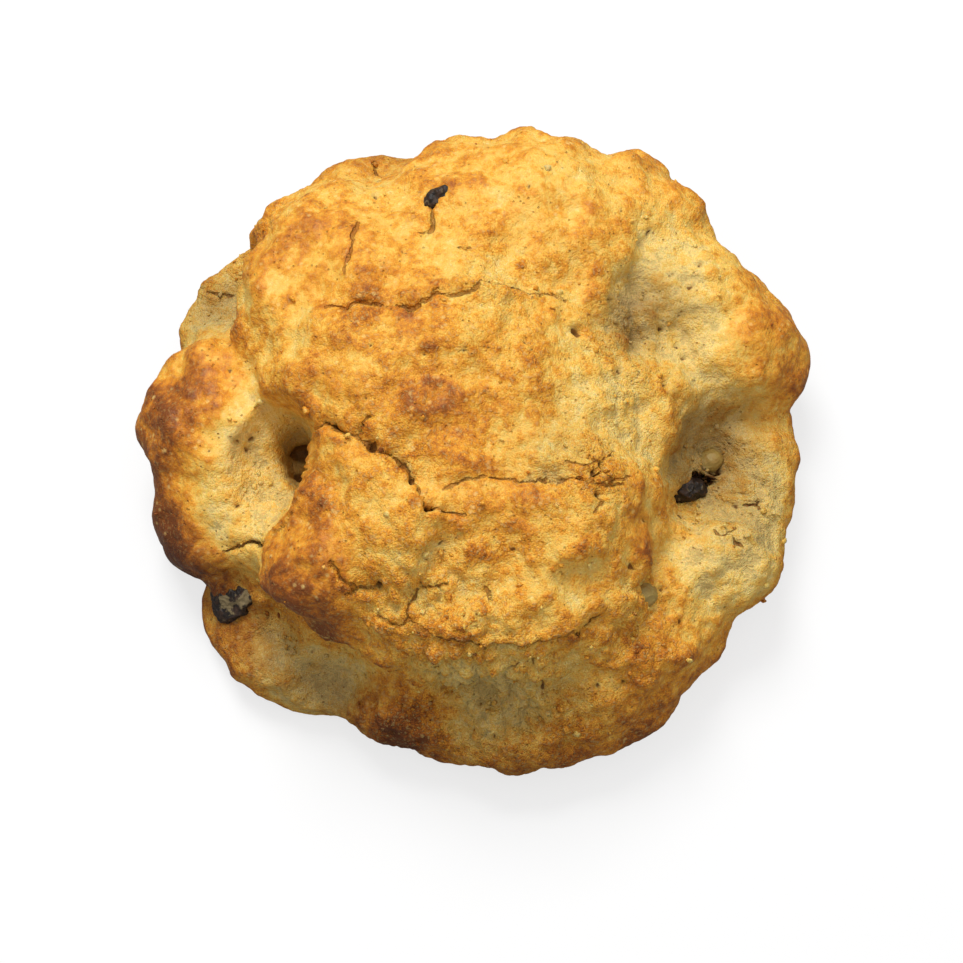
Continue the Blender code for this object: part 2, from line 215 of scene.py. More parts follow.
CRACKS = (
    Crack("back_crack", ((-21, 15.1), (-18.4, 14.9), (-17.1, 15.7), (-12.3, 15.3), (-8.6, 14.1),
                         (-5.4, 16.5), (-2, 15.8), (0.8, 17.1)), 0.34, 1.3, -0.25),
    Crack("back_tail", ((0.9, 18), (6.5, 17.8), (7.7, 16.9), (10.1, 17.7), (13, 17)), 0.22, 0.6),
    Crack("left_crack", ((-25, -0.6), (-23.4, -2.7), (-22.1, -1.7), (-19.2, -3.3), (-17.1, -3.9),
                         (-14.9, -1.9)), 0.62, 2.2, 0.5),
    Crack("mid_crack", ((-17.1, -4.2), (-15, -5.6), (-12.8, -6.7), (-9.7, -8.7), (-7.6, -11.9),
                        (-6.3, -14.7), (-4.4, -15.2), (-1.3, -16.1)), 0.42, 1.7, 0.35),
    Crack("mid_right", ((-4.4, -12.5), (-2, -11.1), (3.1, -10.4), (8.5, -10.8), (14.2, -10.6),
                        (17.1, -11.7), (20.4, -10.8)), 0.3, 1, 0.2),
    Crack("mid_right_down", ((17.1, -11.7), (17.7, -14.1), (16.5, -15.5)), 0.3, 0.8),
    Crack("mid_right_up", ((15.8, -11.4), (17, -8.7), (16.2, -6.5)), 0.25, 0.7),
    Crack("ledge_crack", ((-36.8, -16.7), (-33.2, -16), (-30.3, -16.7), (-28.3, -16.3), (-25.8, -14.2)),
          0.36, 1.1),
    Crack("bay_crack", ((34.9, -14.2), (36.3, -14.8), (37.8, -13.5)), 0.3, 0.8),
    Crack("bay_fork", ((37.6, -15.3), (38.9, -16.6)), 0.26, 0.7),
    Crack("bay_notch", ((40.1, -8.8), (41.4, -8.8), (42, -9.9)), 0.3, 0.8),
    Crack("low_crack", ((-3.8, -24.8), (-6.1, -25.5), (-8.7, -26.1), (-9.4, -29.5), (-7.9, -30.7),
                        (-6.1, -32.3)), 0.36, 1.2, 0.3),
    Crack("low_left", ((-18.2, -26), (-15, -25.6), (-13.1, -25.1)), 0.32, 0.9),
    Crack("low_right", ((1.5, -25.5), (2.2, -27.1)), 0.28, 0.7),
    Crack("short_back", ((-2.4, 24.1), (-0.5, 24)), 0.22, 0.5),
    Crack("speckle_line", ((-6.6, 32.1), (-6.3, 31.1), (-6.6, 29.9), (-6, 28.3), (-6.9, 27.4),
                           (-8.1, 27.1)), 0.24, 0.6),
    Crack("bay_slit", ((36.6, -1.4), (36.1, -2.9), (34.6, -4.6), (33.2, -4.4)), 0.5, 1.6),
    Crack("nose_fold", ((-16.6, -25.4), (-18.7, -24.2), (-20, -21.6)), 0.3, 0.8, 0.3),
    Crack("front_fold", ((-5, -37.3), (-2.1, -36.7), (1.2, -36.2), (5.4, -35.7), (8.6, -34.6)),
          0.2, 0.45, -0.3),
    Crack("knob_break", ((20, -5), (17.8, -8), (18.6, -10.6), (22, -9.4)), 0.4, 1.1, 0.2),
    Crack("knob_spur", ((13, -8.3), (15.6, -8.9), (17.8, -8)), 0.26, 0.7),
    Crack("block_break", ((-14, -28.6), (-10.8, -30.4), (-9.4, -29.5)), 0.32, 1, 0.25),
    Crack("rim_crack", ((-15.8, 45), (-14.6, 42.1)), 0.35, 0.9),
    Crack("back_bay_crack", ((-41.3, 25.2), (-39.5, 24.9), (-37.5, 24.5)), 0.3, 0.8),
    Crack("skin_line", ((-16.8, 28.7), (-17.4, 25.7), (-18, 22.6), (-18.5, 19.1)), 0.06, 0.18, 0.3),
    Crack("front_edge", ((-6.1, -32.3), (0, -33), (6, -33.4), (10.5, -32.4), (13.4, -30.9)),
          0.3, 0.5, -0.7),
    Crack("front_crevice", ((13.4, -30.9), (14.7, -31), (17.4, -28.6)), 0.4, 1.1),
)


@dataclass(frozen=True)
class Pore:
    """A round hole left by a bubble, at a place seen from above."""

    at: Spot
    radius: float
    depth: float


PORES = (
    Pore((14.8, 12.5), 0.85, 1.6), Pore((7.9, 8.1), 0.35, 0.6), Pore((15.4, 8.4), 0.3, 0.5),
    Pore((19.4, 9.3), 0.35, 0.6), Pore((21, 7.4), 0.4, 0.7), Pore((21.3, 31.3), 0.3, 0.5),
    Pore((29.6, 12.9), 0.35, 0.6), Pore((30.7, 11.4), 0.35, 0.6), Pore((27.2, 15.3), 0.4, 0.7),
    Pore((27.3, 6), 0.4, 0.7), Pore((42.7, 9.4), 0.3, 0.5), Pore((16.2, -7), 0.4, 0.7),
    Pore((-6.3, -14.7), 0.9, 1.9), Pore((-13.4, -25.2), 0.6, 1.1), Pore((24.2, -14.7), 0.4, 0.7),
    Pore((22.3, -21.9), 0.5, 0.8), Pore((9.8, -37.6), 0.45, 0.8), Pore((0.2, -29.2), 0.4, 0.7),
    Pore((-25.8, -1), 1.2, 2.4), Pore((-26, -4.6), 1, 2), Pore((36.3, -3.3), 0.7, 2.2),
    Pore((34.3, -4.9), 0.9, 2.6), Pore((33, -4.3), 0.6, 1.6), Pore((30.6, -7.6), 0.8, 2),
    Pore((39, -9.2), 0.55, 1.2), Pore((42, -8.6), 0.5, 1), Pore((25.7, 29.4), 0.35, 0.6),
    Pore((30.7, -10.5), 0.4, 0.7), Pore((8.2, -35.2), 0.4, 0.7), Pore((2.8, -43.6), 0.4, 0.7),
    Pore((-32.7, -0.8), 0.4, 0.7), Pore((-21.7, 5), 0.35, 0.6), Pore((-14, -5.9), 0.7, 1.5),
    Pore((-8.6, -10.4), 0.6, 1.4), Pore((17.4, -12.8), 0.7, 1.4), Pore((16.4, -9.9), 0.5, 1),
    Pore((-20.4, -2.6), 0.7, 1.6), Pore((-36, 9.3), 0.4, 0.6), Pore((-34.5, -1.5), 0.45, 0.7),
    Pore((-6.4, -21.9), 0.3, 0.5),
)


@dataclass(frozen=True)
class Patch:
    """A place on the skin that differs from the rest by an amount that dies out over its reach."""

    name: str
    at: Point
    reach: float
    amount: float


# Some of this browning is also painted shade: left_lump_top, nose_under, left_foot_end and front_rim_left
# are darker partly to stand for the shade on the left lump, under the nose and at the lower left.
BAKED = (
    Patch("left_lump_top", (-42, 5.5, 22), 8, 0.42),
    Patch("left_lump_foot", (-46, -4.5, 17), 8, 0.34),
    Patch("left_shoulder", (-23, 28, 32), 9, 0.1),
    Patch("right_lump_top", (45.5, 15.5, 20.5), 8, 0.07),
    Patch("right_lump_front", (47, 8, 15.7), 6, 0.14),
    Patch("crown_centre", (-3.5, 1, 39.5), 9, 0.26),
    Patch("crown_crack_edge", (-10.2, -6, 38.8), 4.5, 0.1),
    Patch("nose_top", (-24.4, -20.5, 32), 8, 0.2),
    Patch("nose_side", (-26.8, -26, 26.3), 6, 0.22),
    Patch("nose_under", (-22.1, -29.4, 23), 6.5, 0.4),
    Patch("right_knob", (24.4, -18.5, 28.6), 4.5, 0.14),
    Patch("centre_front", (2, -20, 37), 9, 0.12),
    Patch("front_crown", (-10, -27, 33), 7, 0.08),
    Patch("centre_right", (7.5, 4, 38.5), 6, 0.14),
    Patch("knob_front", (24.5, -20.1, 30), 5, 0.15),
    Patch("nose_crest", (-21, -13, 35), 6, 0.1),
    Patch("below_back_crack", (-12, 9, 39.5), 8, 0.14),
    Patch("above_back_crack", (-10, 22, 37.5), 7, 0.10),
    Patch("left_foot_side", (-44, -14, 12), 7, 0.25),
    Patch("left_back_rim", (-36.1, 15.3, 22.3), 4.5, 0.15),
    Patch("right_foot_edge", (44, -22, 9), 5, 0.1),
    Patch("front_rim_left", (-10.9, -43, 9), 6, 0.42),
    Patch("front_rim_right", (25.6, -41, 10), 7, 0.2),
    Patch("left_rim", (-35, -34.2, 6.4), 6, 0.2),
    Patch("left_foot_end", (-45.3, -15.6, 11.8), 6, 0.5),
    Patch("front_wall_left", (-6.5, -38.5, 15.2), 5, 0.12),
    Patch("front_right_slope", (23.6, -32.3, 21.5), 6, 0.1),
)

PALE = (
    Patch("crown_mid_right", (12, -5.7, 37.8), 6, 0.2),
    Patch("crown_gold", (0.8, 9.8, 39.4), 8, 0.2),
    Patch("crown_back_gold", (9.5, 38, 32.5), 8, 0.1),
    Patch("back_right_rim", (29, 29, 26), 7, 0.25),
    Patch("left_valley_front", (-34.5, -6.4, 18), 8, 0.6),
    Patch("left_valley_back", (-33, 0.8, 20), 6, 0.5),
    Patch("back_right_pit", (25.7, 17, 25.2), 6.5, 0.38),
    Patch("back_right_slope", (31, 18, 26), 6, 0.28),
    Patch("right_bay_floor", (39, -3.9, 14), 8, 0.7),
    Patch("right_bay_front", (35.5, -18.9, 20.1), 7, 0.45),
    Patch("right_bay_corner", (40.7, -11.7, 14.7), 6, 0.5),
    Patch("raisin_bay_wall", (-30.3, -33.2, 9), 7, 0.6),
    Patch("raisin_bay_end", (-21.5, -35.9, 7.7), 7, 0.5),
    Patch("back_left_bay", (-39.7, 22, 11.6), 7, 0.7),
    Patch("front_wall", (3, -40, 16.5), 8, 0.36),
    Patch("front_wall_upper", (0, -36.5, 22), 7, 0.28),
    Patch("right_slope", (33.1, 7.9, 21.5), 6, 0.3),
    Patch("pit_rim", (19.3, 3.3, 31.7), 7, 0.26),
    Patch("bay_rim", (25, -3, 28), 6, 0.2),
    Patch("ledge_gold", (-35, -14.5, 19), 4.5, 0.35),
    Patch("crown_low", (-5.2, -22, 36.5), 6, 0.26),
    Patch("knob_side", (17, -19.5, 34), 6, 0.12),
    Patch("right_foot_top", (40, -22, 17), 7, 0.22),
)

# Painted shade: these patches dim and grey the crust where shade falls: in the bays and pits, under the
# ledges and the nose, and on the front wall and the rims.
DULL = (
    Patch("right_bay_hole", (33.5, -3.5, 12.5), 5.5, 0.8),
    Patch("right_bay_wall", (31.5, 0, 18), 6.5, 0.9),
    Patch("right_bay_floor", (39.5, -3, 13), 9, 0.55),
    Patch("right_bay_back", (37.5, 4.5, 16), 5, 0.45),
    Patch("right_foot_inner", (37, -17, 18), 6, 0.2),
    Patch("left_pit", (-26, -3, 15), 5, 1),
    Patch("back_left_bay", (-39.7, 22.5, 11.6), 8, 0.85),
    Patch("raisin_bay", (-33, -27, 9), 8, 0.8),
    Patch("raisin_bay_back", (-40, -19.5, 8.5), 7, 0.9),
    Patch("raisin_bay_end", (-21, -36, 8), 8, 0.6),
    Patch("front_wall", (0, -39.5, 19), 11, 0.26),
    Patch("mid_dip", (12.7, -5, 37), 7, 0.3),
    Patch("back_right_floor", (25.5, 18.5, 26), 5.5, 0.75),
    Patch("right_bay_low", (40.8, -14, 15), 5, 0.3),
    Patch("raisin_bay_wall", (-30.4, -33, 8), 7, 0.4),
    Patch("left_foot_shade", (-42.2, -16.8, 11), 5, 0.75),
    Patch("front_rim_left", (-11, -41.5, 9), 6, 0.6),
    Patch("front_wall_right", (16, -38.5, 15), 10, 0.35),
    Patch("front_rim", (4, -46, 7), 11, 0.7),
    Patch("pit_cleft", (22, 14.5, 27), 4.5, 0.9),
    Patch("back_right_slope", (28, 16, 26), 7, 0.15),
    Patch("back_bay", (-14, 45, 13), 7, 0.45),
    Patch("front_left_rim", (-18, -42, 6), 8, 0.5),
    Patch("left_foot_rim", (-44, -17, 8), 7, 0.5),
)

SMOOTH = (
    Patch("left_lump", (-41, 3, 21), 10, 1),
    Patch("left_foot", (-42, -12, 15), 8, 0.9),
    Patch("nose", (-24, -22, 29), 7.5, 0.9),
    Patch("left_shoulder", (-24, 24, 31), 8, 0.6),
    Patch("right_lump", (45, 14, 19), 9, 0.7),
    Patch("right_knob", (24, -17, 28), 4.5, 0.5),
    Patch("crown_back", (12, 34, 31), 9, 0.4),
)

SWELLS = (
    Patch("over_left_raisin", (-32.3, -21.8, 10.5), 2.4, 1.5),
    Patch("beside_left_raisin", (-37.5, -19.6, 9.5), 2.2, 0.9),
    Patch("over_right_raisin", (30.2, -5.6, 14), 2.4, 1.4),
    Patch("torn_crumb", (38.6, -7.4, 13), 2.6, 1),
    Patch("torn_crumb_low", (41, -10.2, 13.5), 2.2, 0.9),
    Patch("bay_bump", (37.5, -15.5, 17), 2.8, 0.9),
    Patch("valley_bump", (-35, -9.5, 18), 2.6, 0.8),
    Patch("valley_knob", (-31.5, -12.8, 18.5), 2.2, 0.8),
    Patch("front_bump", (-8.5, -39, 18), 3, 0.9),
    Patch("front_knob", (9, -38, 20), 3, 0.9),
    Patch("slope_bump", (28, 22, 27.5), 3, 0.8),
)

CRUMBLY = (
    Patch("front_crown_blocks", (-6, -28, 33), 10, 0.9),
    Patch("front_wall_rough", (2, -38.5, 19), 14, 1.3),
    Patch("back_crack_crumbs", (3, 15, 38), 8, 0.5),
    Patch("mid_crack_crumbs", (-10, -8, 38.6), 6, 0.4),
    Patch("knob_crumbs", (16, -9, 36.5), 7, 0.7),
    Patch("pit_crumbs", (22, 7, 29), 8, 0.6),
    Patch("right_bay_crumbs", (37.5, -8, 14), 9, 0.9),
    Patch("left_valley_crumbs", (-32, -8, 19), 8, 0.7),
    Patch("back_left_crumbs", (-39, 23, 12), 8, 0.6),
    Patch("raisin_bay_crumbs", (-28, -33, 10), 9, 0.7),
    Patch("nut_slope_crumbs", (22, -24, 24), 7, 0.6),
)


# Surface maths.


def smooth_union(first: Array, second: Array, blend: float) -> Array:
    """The nearer of two distances, rounded off over the blend where they meet."""
    mix = np.clip(0.5 + 0.5 * (second - first) / blend, 0.0, 1.0)
    return second + (first - second) * mix - blend * mix * (1.0 - mix)


def smooth_step(low: float, high: float, value: Array) -> Array:
    """0 below low, 1 above high, and 3t^2 - 2t^3 between them."""
    ease = np.clip((value - low) / (high - low), 0.0, 1.0)
    return ease * ease * (3.0 - 2.0 * ease)


def lattice_directions(corner: Array, seed: int) -> Array:
    """A repeatable unit direction for each whole-number lattice corner.

    Args:
        corner: An (n, 3) array of whole numbers.
        seed: Which set of directions to give.

    Returns:
        An (n, 3) array of unit directions, spread evenly over the sphere.
    """
    key = corner.astype(np.int64) * np.array([73856093, 19349663, 83492791])
    key = (key.sum(axis=1) + seed * 2654435761) & 0xFFFFFFFF
    key = ((key ^ (key >> 15)) * 2246822519) & 0xFFFFFFFF
    key = ((key ^ (key >> 13)) * 3266489917) & 0xFFFFFFFF
    turn = (key & 0xFFFF) / 65536.0 * math.tau
    height = (key >> 16) / 32768.0 - 1.0
    flat = np.sqrt(np.maximum(0.0, 1.0 - height ** 2))
    return np.stack([flat * np.cos(turn), flat * np.sin(turn), height], axis=1)


def gradient_noise(points: Array, cell: float, seed: int) -> Array:
    """Smooth noise of about -1 to 1: sloping planes at lattice corners, eased into each other.

    Args:
        points: An (n, 3) array of points.
        cell: The distance from one bump to the next.
        seed: Which pattern to give.

    Returns:
        The n values.
    """
    scaled = points / cell
    low = np.floor(scaled)
    inside = scaled - low
    ease = inside ** 3 * (inside * (inside * 6.0 - 15.0) + 10.0)
    total = np.zeros(len(points))
    for corner in np.ndindex(2, 2, 2):
        corner = np.array(corner)
        slope = lattice_directions(low + corner, seed)
        weight = np.prod(np.where(corner, ease, 1.0 - ease), axis=1)
        total += weight * np.sum(slope * (inside - corner), axis=1)
    return total * 1.6


def layered_noise(points: Array, layers: tuple[tuple[float, float], ...], seed: int) -> Array:
    """Gradient noise added up over layers, each with its cell, its height and a seed of its own."""
    return sum(height * gradient_noise(points, cell, seed + number)
               for number, (cell, height) in enumerate(layers))


def cell_noise(points: Array, cell: float, seed: int) -> tuple[Array, Array]:
    """Distances, in cells, to the nearest and the next of one strewn point in each lattice cell.

    Args:
        points: An (n, 3) array of points.
        cell: The size of a lattice cell.
        seed: Which pattern to give.

    Returns:
        The n nearest distances and the n next ones.
    """
    scaled = points / cell
    low = np.floor(scaled)
    nearest = np.full(len(points), 9.0)
    following = nearest.copy()
    for step in np.ndindex(3, 3, 3):
        corner = low + np.array(step) - 1.0
        centre = corner + 0.5 + 0.45 * lattice_directions(corner, seed)
        gap = np.linalg.norm(scaled - centre, axis=1)
        following = np.minimum(following, np.maximum(nearest, gap))
        nearest = np.minimum(nearest, gap)
    return nearest, following


def patch_sum(patches: tuple[Patch, ...], points: Array) -> Array:
    """The patches' amounts, each falling off as exp(-(distance / reach)^2), added up.

    Args:
        patches: The patches.
        points: An (n, 3) array of points.

    Returns:
        The n sums.
    """
    total = np.zeros(len(points))
    for patch in patches:
        gap = np.sum((points - np.array(patch.at)) ** 2, axis=1)
        total += patch.amount * np.exp(-gap / patch.reach ** 2)
    return total


def softened(field: Array, passes: int) -> Array:
    """The grid's inner values moved halfway to the mean of their four neighbours.

    Args:
        field: A grid of numbers or of points.
        passes: How many times they are moved.

    Returns:
        The softened grid; its edge stays as it is.
    """
    result = field.copy()
    for _ in range(passes):
        around = result[:-2, 1:-1] + result[2:, 1:-1] + result[1:-1, :-2] + result[1:-1, 2:]
        result[1:-1, 1:-1] = 0.5 * result[1:-1, 1:-1] + 0.125 * around
    return result


def grid_normals(grid: Array) -> Array:
    """Unit normals of a grid of points, from the cross product of its two slopes."""
    normal = np.cross(np.gradient(grid, axis=0), np.gradient(grid, axis=1))
    return normal / np.maximum(np.linalg.norm(normal, axis=2, keepdims=True), 1e-9)


def ball_net(rows: int, columns: int) -> tuple[Array, Array, list[Array]]:
    """The net of a ball whose rings run from the top to the foot.

    Args:
        rows: How many steps there are from the top to the foot.
        columns: How many points each ring has.

    Returns:
        Each point's angle down from the top and its angle around, the two ends coming last, and
        the faces: the rings' quads and the ends' triangles.
    """
    down, around = np.meshgrid(np.linspace(0.0, math.pi, rows + 1)[1:-1],
                               np.linspace(0.0, math.tau, columns, endpoint=False), indexing="ij")
    top, foot = down.size, down.size + 1
    index = np.arange(down.size).reshape(down.shape)
    beside = np.roll(index, -1, axis=1)
    quads = np.stack([index[:-1], index[1:], beside[1:], beside[:-1]], axis=-1).reshape(-1, 4)
    top_fan = np.stack([np.full(columns, top), index[0], beside[0]], axis=1)
    foot_fan = np.stack([beside[-1], index[-1], np.full(columns, foot)], axis=1)
    return np.append(down, (0.0, math.pi)), np.append(around, (0.0, 0.0)), [quads, top_fan, foot_fan]


def scene_object(name: str, data: Any) -> bpy.types.Object:
    """A new object with that name and data, linked to the scene."""
    thing = bpy.data.objects.new(name, data)
    bpy.context.scene.collection.objects.link(thing)
    return thing


def mesh_object(name: str, points: Array, faces: list[Array],
                marks: dict[Mark, Array]) -> bpy.types.Object:
    """Make a smooth-shaded mesh object at the origin.

    Args:
        name: The object's name.
        points: An (n, 3) array of points in metres.
        faces: Arrays of faces, each (m, 3) or (m, 4) indices.
        marks: One number at each point for each mark that the finish reads.

    Returns:
        The new object, linked to the scene.
    """
    mesh = bpy.data.meshes.new(name)
    mesh.from_pydata(points.tolist(), [], [face for group in faces for face in group.tolist()])
    mesh.shade_smooth()
    for mark, values in marks.items():
        layer = mesh.attributes.new(mark.value, "FLOAT", "POINT")
        layer.data.foreach_set("value", values.astype(np.float32))
    return scene_object(name, mesh)


def vertex_vectors(thing: bpy.types.Object, measure: str) -> Array:
    """One vector for each of the object's vertices.

    Args:
        thing: The object.
        measure: "co" for their places, in metres, or "normal" for their unit normals.

    Returns:
        An (n, 3) array.
    """
    vectors = np.empty(3 * len(thing.data.vertices), np.float32)
    thing.data.vertices.foreach_get(measure, vectors)
    return vectors.reshape(-1, 3).astype(float)


def mark_values(thing: bpy.types.Object, mark: Mark) -> Array:
    """One number for each of the object's vertices.

    Args:
        thing: The object.
        mark: Which of its marks to give.

    Returns:
        The n values.
    """
    values = np.empty(len(thing.data.vertices), np.float32)
    thing.data.attributes[mark.value].data.foreach_get("value", values)
    return values.astype(float)


# Shader maths.


@dataclass(frozen=True)
class Value:
    """A node's output socket that can be worked with as a number."""

    sheet: "Sheet"
    socket: bpy.types.NodeSocket

    def maths(self, operation: str, *others: Any) -> "Value":
        """The result of a Math node on this value and the others."""
        return self.sheet.node("ShaderNodeMath", {"operation": operation}, dict(enumerate((self, *others))))

    def __add__(self, other: Any) -> "Value":
        """This plus other."""
        return self.maths("ADD", other)

    __radd__ = __add__

    def __mul__(self, other: Any) -> "Value":
        """This times other."""
        return self.maths("MULTIPLY", other)

    __rmul__ = __mul__

    def __sub__(self, other: Any) -> "Value":
        """This less other."""
        return self.maths("SUBTRACT", other)

    def __rsub__(self, other: Any) -> "Value":
        """Other less this."""
        return self.sheet.node("ShaderNodeMath", {"operation": "SUBTRACT"}, {0: other, 1: self})

    def most(self, other: Any) -> "Value":
        """The greater of this and other."""
        return self.maths("MAXIMUM", other)

    def step(self, low: float, high: float) -> "Value":
        """0 at low, 1 at high, eased between; high may be the lower of the two."""
        limits = {"Value": self, "From Min": low, "From Max": high}
        return self.sheet.node("ShaderNodeMapRange", {"interpolation_type": "SMOOTHSTEP"}, limits)


class Sheet:
    """A material's nodes, added one by one."""

    def __init__(self, name: str) -> None:
        """Start an empty material of that name."""
        self.material = bpy.data.materials.new(name)
        self.material.use_nodes = True
        self.nodes = self.material.node_tree.nodes
        self.links = self.material.node_tree.links
        self.nodes.clear()

    def node(self, kind: str, settings: dict[str, Any] | None = None,
             inputs: dict[Any, Any] | None = None, output: int | str = 0) -> Value:
        """Add a node.

        Args:
            kind: The node's type.
            settings: The node's own settings, set first; "stops" fills a colour ramp.
            inputs: A value, colour or link for each named or numbered socket.
            output: The socket to hand back.

        Returns:
            The chosen output.
        """
        node = self.nodes.new(kind)
        for key, setting in (settings or {}).items():
            if key == "stops":
                ramp = node.color_ramp.elements
                while len(ramp) < len(setting):
                    ramp.new(1.0)
                for stop, (place, colour) in zip(ramp, setting):
                    stop.position = place
                    stop.color = (*colour, 1.0)
            else:
                setattr(node, key, setting)
        for key, given in (inputs or {}).items():
            socket = node.inputs[key]
            if isinstance(given, Value):
                self.links.new(given.socket, socket)
            elif isinstance(given, tuple) and socket.type == "RGBA":
                socket.default_value = (*given, 1.0)
            else:
                socket.default_value = given
        return Value(self, node.outputs[output])

    def place(self) -> Value:
        """The point's place on the object, in metres."""
        return self.node("ShaderNodeTexCoord", output="Object")

    def mark(self, mark: Mark) -> Value:
        """One of the numbers that the mesh carries."""
        return self.node("ShaderNodeAttribute", {"attribute_name": mark.value}, output="Fac")

    def noise(self, cell: float, detail: float = 2.0, warp: float = 0.0) -> Value:
        """Cloudy noise from 0 to 1.

        Args:
            cell: About how far apart its clouds are, in millimetres.
            detail: How many finer layers are added.
            warp: How much the clouds are bent.

        Returns:
            The noise.
        """
        scale = {"Vector": self.place(), "Scale": 1.0 / (cell * MM), "Detail": detail,
                 "Distortion": warp}
        return self.node("ShaderNodeTexNoise", inputs=scale)

    def cells(self, cell: float, feature: str = "F1") -> Value:
        """Distance to the nearest of strewn points about a cell, in millimetres, apart."""
        scale = {"Vector": self.place(), "Scale": 1.0 / (cell * MM)}
        return self.node("ShaderNodeTexVoronoi", {"feature": feature}, scale, "Distance")

    def blend(self, factor: Any, low: Any, high: Any, mode: str = "MIX") -> Value:
        """A colour between low and high by the factor, or their product and so on by mode."""
        settings = {"data_type": "RGBA", "blend_type": mode}
        return self.node("ShaderNodeMix", settings, {0: factor, 6: low, 7: high}, 2)

    def ramp(self, factor: Value, stops: tuple[tuple[float, Colour], ...]) -> Value:
        """The colour at the factor along the stops."""
        return self.node("ShaderNodeValToRGB", {"stops": stops}, {0: factor}, 0)

    def finish(self, surface: Value) -> bpy.types.Material:
        """Join the surface to the output.

        Args:
            surface: The shader that is the surface.

        Returns:
            The finished material.
        """
        output = self.nodes.new("ShaderNodeOutputMaterial")
        self.links.new(surface.socket, output.inputs["Surface"])
        return self.material

    def finish_solid(self, height: Value, surface: dict[str, Any]) -> bpy.types.Material:
        """Finish as a solid's skin.

        Args:
            height: Fine relief to raise on it, in millimetres.
            surface: A value, colour or link for each named socket of its shader.

        Returns:
            The finished material.
        """
        bump = self.node("ShaderNodeBump", inputs={"Height": height, "Distance": MM}, output="Normal")
        return self.finish(self.node("ShaderNodeBsdfPrincipled", inputs={**surface, "Normal": bump}))


# Finishes.


